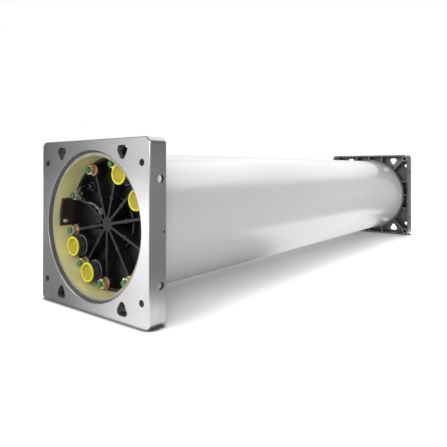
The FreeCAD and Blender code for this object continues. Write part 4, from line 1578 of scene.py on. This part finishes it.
@dataclass
class Studio:
    """Floor, lamps, world and camera.

    Attributes:
        camera_place: The camera's position in metres.
        view_way: The way it looks.
        lens: Focal length in millimetres.
        sensor: Width of the picture behind the lens, in millimetres.
        sight: How far the camera sees, in metres.
        shift: The lens shift as shares of the frame.
        floor_size: Side of the floor in metres.
        floor_colour: Its own colour.
        contact_colour: Its colour in the painted contact shadow where the module's lower edges nearly touch
            it.
        lift: What the floor adds to its own light where it is seen, near the module and far from it.
        lift_reach: Distances from the module's middle between which that changes, in metres.
        contact: How far the painted contact shadow under the module's lower edges reaches, in metres.
        contact_open: How open the floor is where that shadow starts and ends.
        contact_lift: What stays of colour and lift in that shadow.
        shelter: How far the shade beside the vessel reaches, in metres.
        shelter_open: How open the floor is where that shade starts and ends.
        shelter_lift: What stays of the lift in that shade.
        shelter_end: Distances along the vessel between which that shade ends, in metres.
        feelers: Rays that each point of the floor sends out to see how open it is.
        surround: Brightness of the room as light.
        unlit: Brightness of the room's unlit sides in metal and gloss.
        paper_edge: Where the white paper ends on the right, in metres.
        paper_far: Where it ends behind the module, in metres.
        fan_point: The point of the floor that its unlit left part fans out from, in metres.
        left_fall: Bearings left of -Y between which the left side goes from white to unlit, in degrees.
        left_rise: Bearings between which it comes back to white.
        side_top: Heights of the right side's top edge about the vessel's axis, in degrees.
        far_side: Angles off +Y between which the unlit far side ends.
        panel: Angles off +Y between which a white panel on the right gives way to the unlit side.
        ceiling: Steepness of the view between which the unlit ceiling starts.
        lamps: The softboxes.
    """

    camera_place: Point = (0.764, -1.309, 0.284)
    view_way: Point = (-0.6221, 0.7829, 0.0110)
    lens: float = 37.16
    sensor: float = 36.0
    sight: float = 100.0
    shift: Pair = (0.0068, -0.1353)
    floor_size: float = 40.0
    floor_colour: Colour = grey(0.85)
    contact_colour: Colour = grey(0.05)
    lift: Pair = (0.62, 1.0)
    lift_reach: Pair = (0.9, 2.2)
    contact: float = 0.016
    contact_open: Pair = (0.5, 0.92)
    contact_lift: float = 0.12
    shelter: float = 0.19
    shelter_open: Pair = (0.40, 0.80)
    shelter_lift: float = 0.18
    shelter_end: Pair = (0.72, 0.80)
    feelers: int = 8
    surround: float = 0.36
    unlit: float = 0.13
    paper_edge: Pair = (0.29, 0.34)
    paper_far: Pair = (0.80, 0.92)
    fan_point: Pair = (0.764, -0.209)
    left_fall: Pair = (48.0, 58.5)
    left_rise: Pair = (85.0, 105.0)
    side_top: Pair = (60.0, 72.0)
    far_side: Pair = (17.5, 20.5)
    panel: Pair = (21.5, 26.0)
    ceiling: Pair = (0.45, 0.65)
    lamps: tuple[Softbox, ...] = (
        Softbox("overhead_softbox", (-0.75, 3.75, 2.6), (-0.75, 3.75, 0.0), (5.3, 6.5), 0.52),
        Softbox("ridge_softbox", (0.0, 2.10, 2.55), (0.0, 2.10, 0.0), (2.7, 1.9), 1.25),
        Softbox("side_softbox", (1.9, 0.10, 0.30), (0.1, 0.22, 0.12), (1.0, 0.7), 1.3, 75.0),
        Softbox("front_softbox", (-0.86, -2.75, 1.6), (0.0, -0.76, 0.2), (2.0, 2.0), 2.9),
        Softbox("mouth_softbox", (1.6, -2.6, 0.9), (-0.12, -0.72, 0.14), (0.9, 0.9), 0.52, 40.0),
    )

    def camera(self) -> None:
        """Set the camera at the photograph's place."""
        data = bpy.data.cameras.new("studio_camera")
        data.lens = self.lens
        data.sensor_width = self.sensor
        data.shift_x, data.shift_y = self.shift
        data.clip_end = self.sight
        camera = put("studio_camera", data)
        camera.location = self.camera_place
        camera.rotation_euler = Vector(self.view_way).to_track_quat("-Z", "Y").to_euler()
        bpy.context.scene.camera = camera

    @staticmethod
    def mirrored(wiring: Wiring, path: Node) -> NodeSocket:
        """How much a ray is one that metal, gloss or glass sends on, from 0 to 1."""
        return wiring.reckon("MAXIMUM", path.outputs["Is Glossy Ray"], path.outputs["Is Transmission Ray"])

    def left_side(self, wiring: Wiring, across: NodeSocket, along: NodeSocket) -> NodeSocket:
        """How brightly the room's left side shows, by its bearing.

        Args:
            wiring: The tree's wiring.
            across: Distance towards +X.
            along: Distance towards +Y.

        Returns:
            A socket that is 1 where the room is white.
        """
        west = wiring.reckon("MULTIPLY", across, -1.0)
        south = wiring.reckon("MULTIPLY", along, -1.0)
        bearing = wiring.reckon("ARCTAN2", west, south)
        fall = wiring.between(bearing, radians(self.left_fall), 1.0, self.unlit)
        rise = wiring.between(bearing, radians(self.left_rise), self.unlit, 1.0)
        return wiring.reckon("MAXIMUM", fall, rise)

    def openness(self, wiring: Wiring, distance: float, reach: Pair, least: float) -> NodeSocket:
        """How open the floor lies beside the module.

        Args:
            wiring: The tree's wiring.
            distance: How far from the module it is felt, in metres.
            reach: How open the floor is where the change starts and ends.
            least: What stays where it is closed in.

        Returns:
            A socket that is 1 in the open.
        """
        sky = wiring.add("ShaderNodeAmbientOcclusion", samples=self.feelers, Distance=distance)
        return wiring.between(sky.outputs["AO"], reach, least, 1.0)

    def floor_lift(
        self, wiring: Wiring, place: NodeSocket, along: NodeSocket, mirrored: NodeSocket
    ) -> NodeSocket:
        """What the floor adds to its own light where it is seen.

        Args:
            wiring: The tree's wiring.
            place: The place on the floor.
            along: Distance towards +Y.
            mirrored: 1 for mirrored rays, for which there is no shade beside the vessel.

        Returns:
            The added light's socket, without the contact line.
        """
        away = wiring.add("ShaderNodeVectorMath", operation="LENGTH")
        wiring.feed(place, away.inputs[0])
        lift = wiring.between(away.outputs["Value"], self.lift_reach, *self.lift)
        shade = self.openness(wiring, self.shelter, self.shelter_open, self.shelter_lift)
        beyond = wiring.between(wiring.reckon("ABSOLUTE", along), self.shelter_end, 0.0, 1.0)
        shade = wiring.reckon("MAXIMUM", wiring.reckon("MAXIMUM", shade, beyond), mirrored)
        return wiring.reckon("MULTIPLY", lift, shade)

    def floor_unlit(self, wiring: Wiring, across: NodeSocket, along: NodeSocket) -> NodeSocket:
        """How much of the floor's white is missing in metal and gloss.

        Args:
            wiring: The tree's wiring.
            across: Distance towards +X.
            along: Distance towards +Y.

        Returns:
            A socket that is 0 where the floor shows white.
        """
        fan_x, fan_y = self.fan_point
        left = self.left_side(
            wiring, wiring.reckon("SUBTRACT", across, fan_x), wiring.reckon("SUBTRACT", along, fan_y)
        )
        right = wiring.between(across, self.paper_edge, 1.0, self.unlit)
        far = wiring.between(along, self.paper_far, 1.0, self.unlit)
        bright = wiring.reckon("MINIMUM", wiring.reckon("MINIMUM", left, right), far)
        return wiring.reckon("SUBTRACT", 1.0, bright)

    def floor_material(self) -> bpy.types.Material:
        """A pale, matt sheet that shows white where it is seen and keeps the module's shadow.

        Returns:
            The floor's material.
        """
        material = bpy.data.materials.new("pale_floor")
        material.use_nodes = True
        material.node_tree.nodes.clear()
        wiring = Wiring(material.node_tree)
        path = wiring.add("ShaderNodeLightPath")
        mirrored = self.mirrored(wiring, path)
        seen = wiring.reckon("MAXIMUM", path.outputs["Is Camera Ray"], mirrored)
        place = wiring.add("ShaderNodeTexCoord").outputs["Object"]
        apart = wiring.add("ShaderNodeSeparateXYZ", Vector=place)
        across, along = apart.outputs["X"], apart.outputs["Y"]
        # Painted contact shadow: floor colour and lift darkened where the floor is closed in under the
        # module's lower edges.
        bare = self.openness(wiring, self.contact, self.contact_open, self.contact_lift)
        colour = wiring.blend(bare, self.contact_colour, self.floor_colour)
        lift = wiring.reckon("MULTIPLY", bare, self.floor_lift(wiring, place, along, mirrored))
        matt = wiring.add("ShaderNodeBsdfDiffuse", Color=colour)
        glow = wiring.add(
            "ShaderNodeEmission", Color=WHITE, Strength=wiring.reckon("MULTIPLY", seen, lift)
        )
        paper = wiring.add("ShaderNodeAddShader")
        wiring.feed(matt.outputs["BSDF"], paper.inputs[0])
        wiring.feed(glow.outputs["Emission"], paper.inputs[1])
        hidden = wiring.reckon("MULTIPLY", mirrored, self.floor_unlit(wiring, across, along))
        unlit = wiring.add("ShaderNodeEmission", Color=grey(self.unlit), Strength=1.0)
        both = wiring.add("ShaderNodeMixShader", Fac=hidden)
        wiring.feed(paper.outputs["Shader"], both.inputs[1])
        wiring.feed(unlit.outputs["Emission"], both.inputs[2])
        wiring.add("ShaderNodeOutputMaterial", Surface=both.outputs["Shader"])
        return material

    def floor(self) -> None:
        """Lay the floor that the module stands on."""
        bm = bmesh.new()
        bmesh.ops.create_grid(bm, x_segments=1, y_segments=1, size=self.floor_size / 2)
        mesh = bpy.data.meshes.new("floor")
        bm.to_mesh(mesh)
        bm.free()
        mesh.materials.append(self.floor_material())
        floor = put("floor", mesh)

    def world(self) -> None:
        """A white surround where it is seen, with unlit sides in metal, and a soft one as light."""
        world = bpy.data.worlds.new("studio_surround")
        world.use_nodes = True
        world.node_tree.nodes.clear()
        bpy.context.scene.world = world
        wiring = Wiring(world.node_tree)
        place = wiring.add("ShaderNodeTexCoord").outputs["Generated"]
        apart = wiring.add("ShaderNodeSeparateXYZ", Vector=place)
        across, along, up = (apart.outputs[axis] for axis in "XYZ")
        left = self.left_side(wiring, across, along)
        height = wiring.reckon("ARCTAN2", up, across)
        side = wiring.between(height, radians(self.side_top), self.unlit, 1.0)
        off_axis = wiring.reckon("ARCCOSINE", along)
        panel = wiring.between(off_axis, radians(self.panel), 1.0, self.unlit)
        far = wiring.between(off_axis, radians(self.far_side), self.unlit, 1.0)
        side = wiring.reckon("MINIMUM", wiring.reckon("MAXIMUM", side, panel), far)
        ceiling = wiring.between(up, self.ceiling, 1.0, self.unlit)
        bright = wiring.reckon("MINIMUM", left, wiring.reckon("MINIMUM", side, ceiling))
        path = wiring.add("ShaderNodeLightPath")
        colour = wiring.blend(self.mirrored(wiring, path), grey(self.surround), bright)
        colour = wiring.blend(path.outputs["Is Camera Ray"], colour, WHITE)
        room = wiring.add("ShaderNodeBackground", Color=colour, Strength=1.0)
        wiring.add("ShaderNodeOutputWorld", Surface=room.outputs["Background"])

    def build(self) -> None:
        """Set up the whole studio."""
        bpy.context.scene.view_settings.view_transform = "Standard"
        self.camera()
        self.floor()
        self.world()
        for lamp in self.lamps:
            lamp.hang()


def main() -> None:
    """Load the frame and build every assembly."""
    logging.basicConfig(level=logging.INFO)
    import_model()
    Studio().build()
    for assembly in (PowerLead(), EndPlates(), Vessel(), EndCaps(), RodHardware(), Ports(), HiddenStack()):
        assembly.build()


if __name__ == "__main__":
    main()
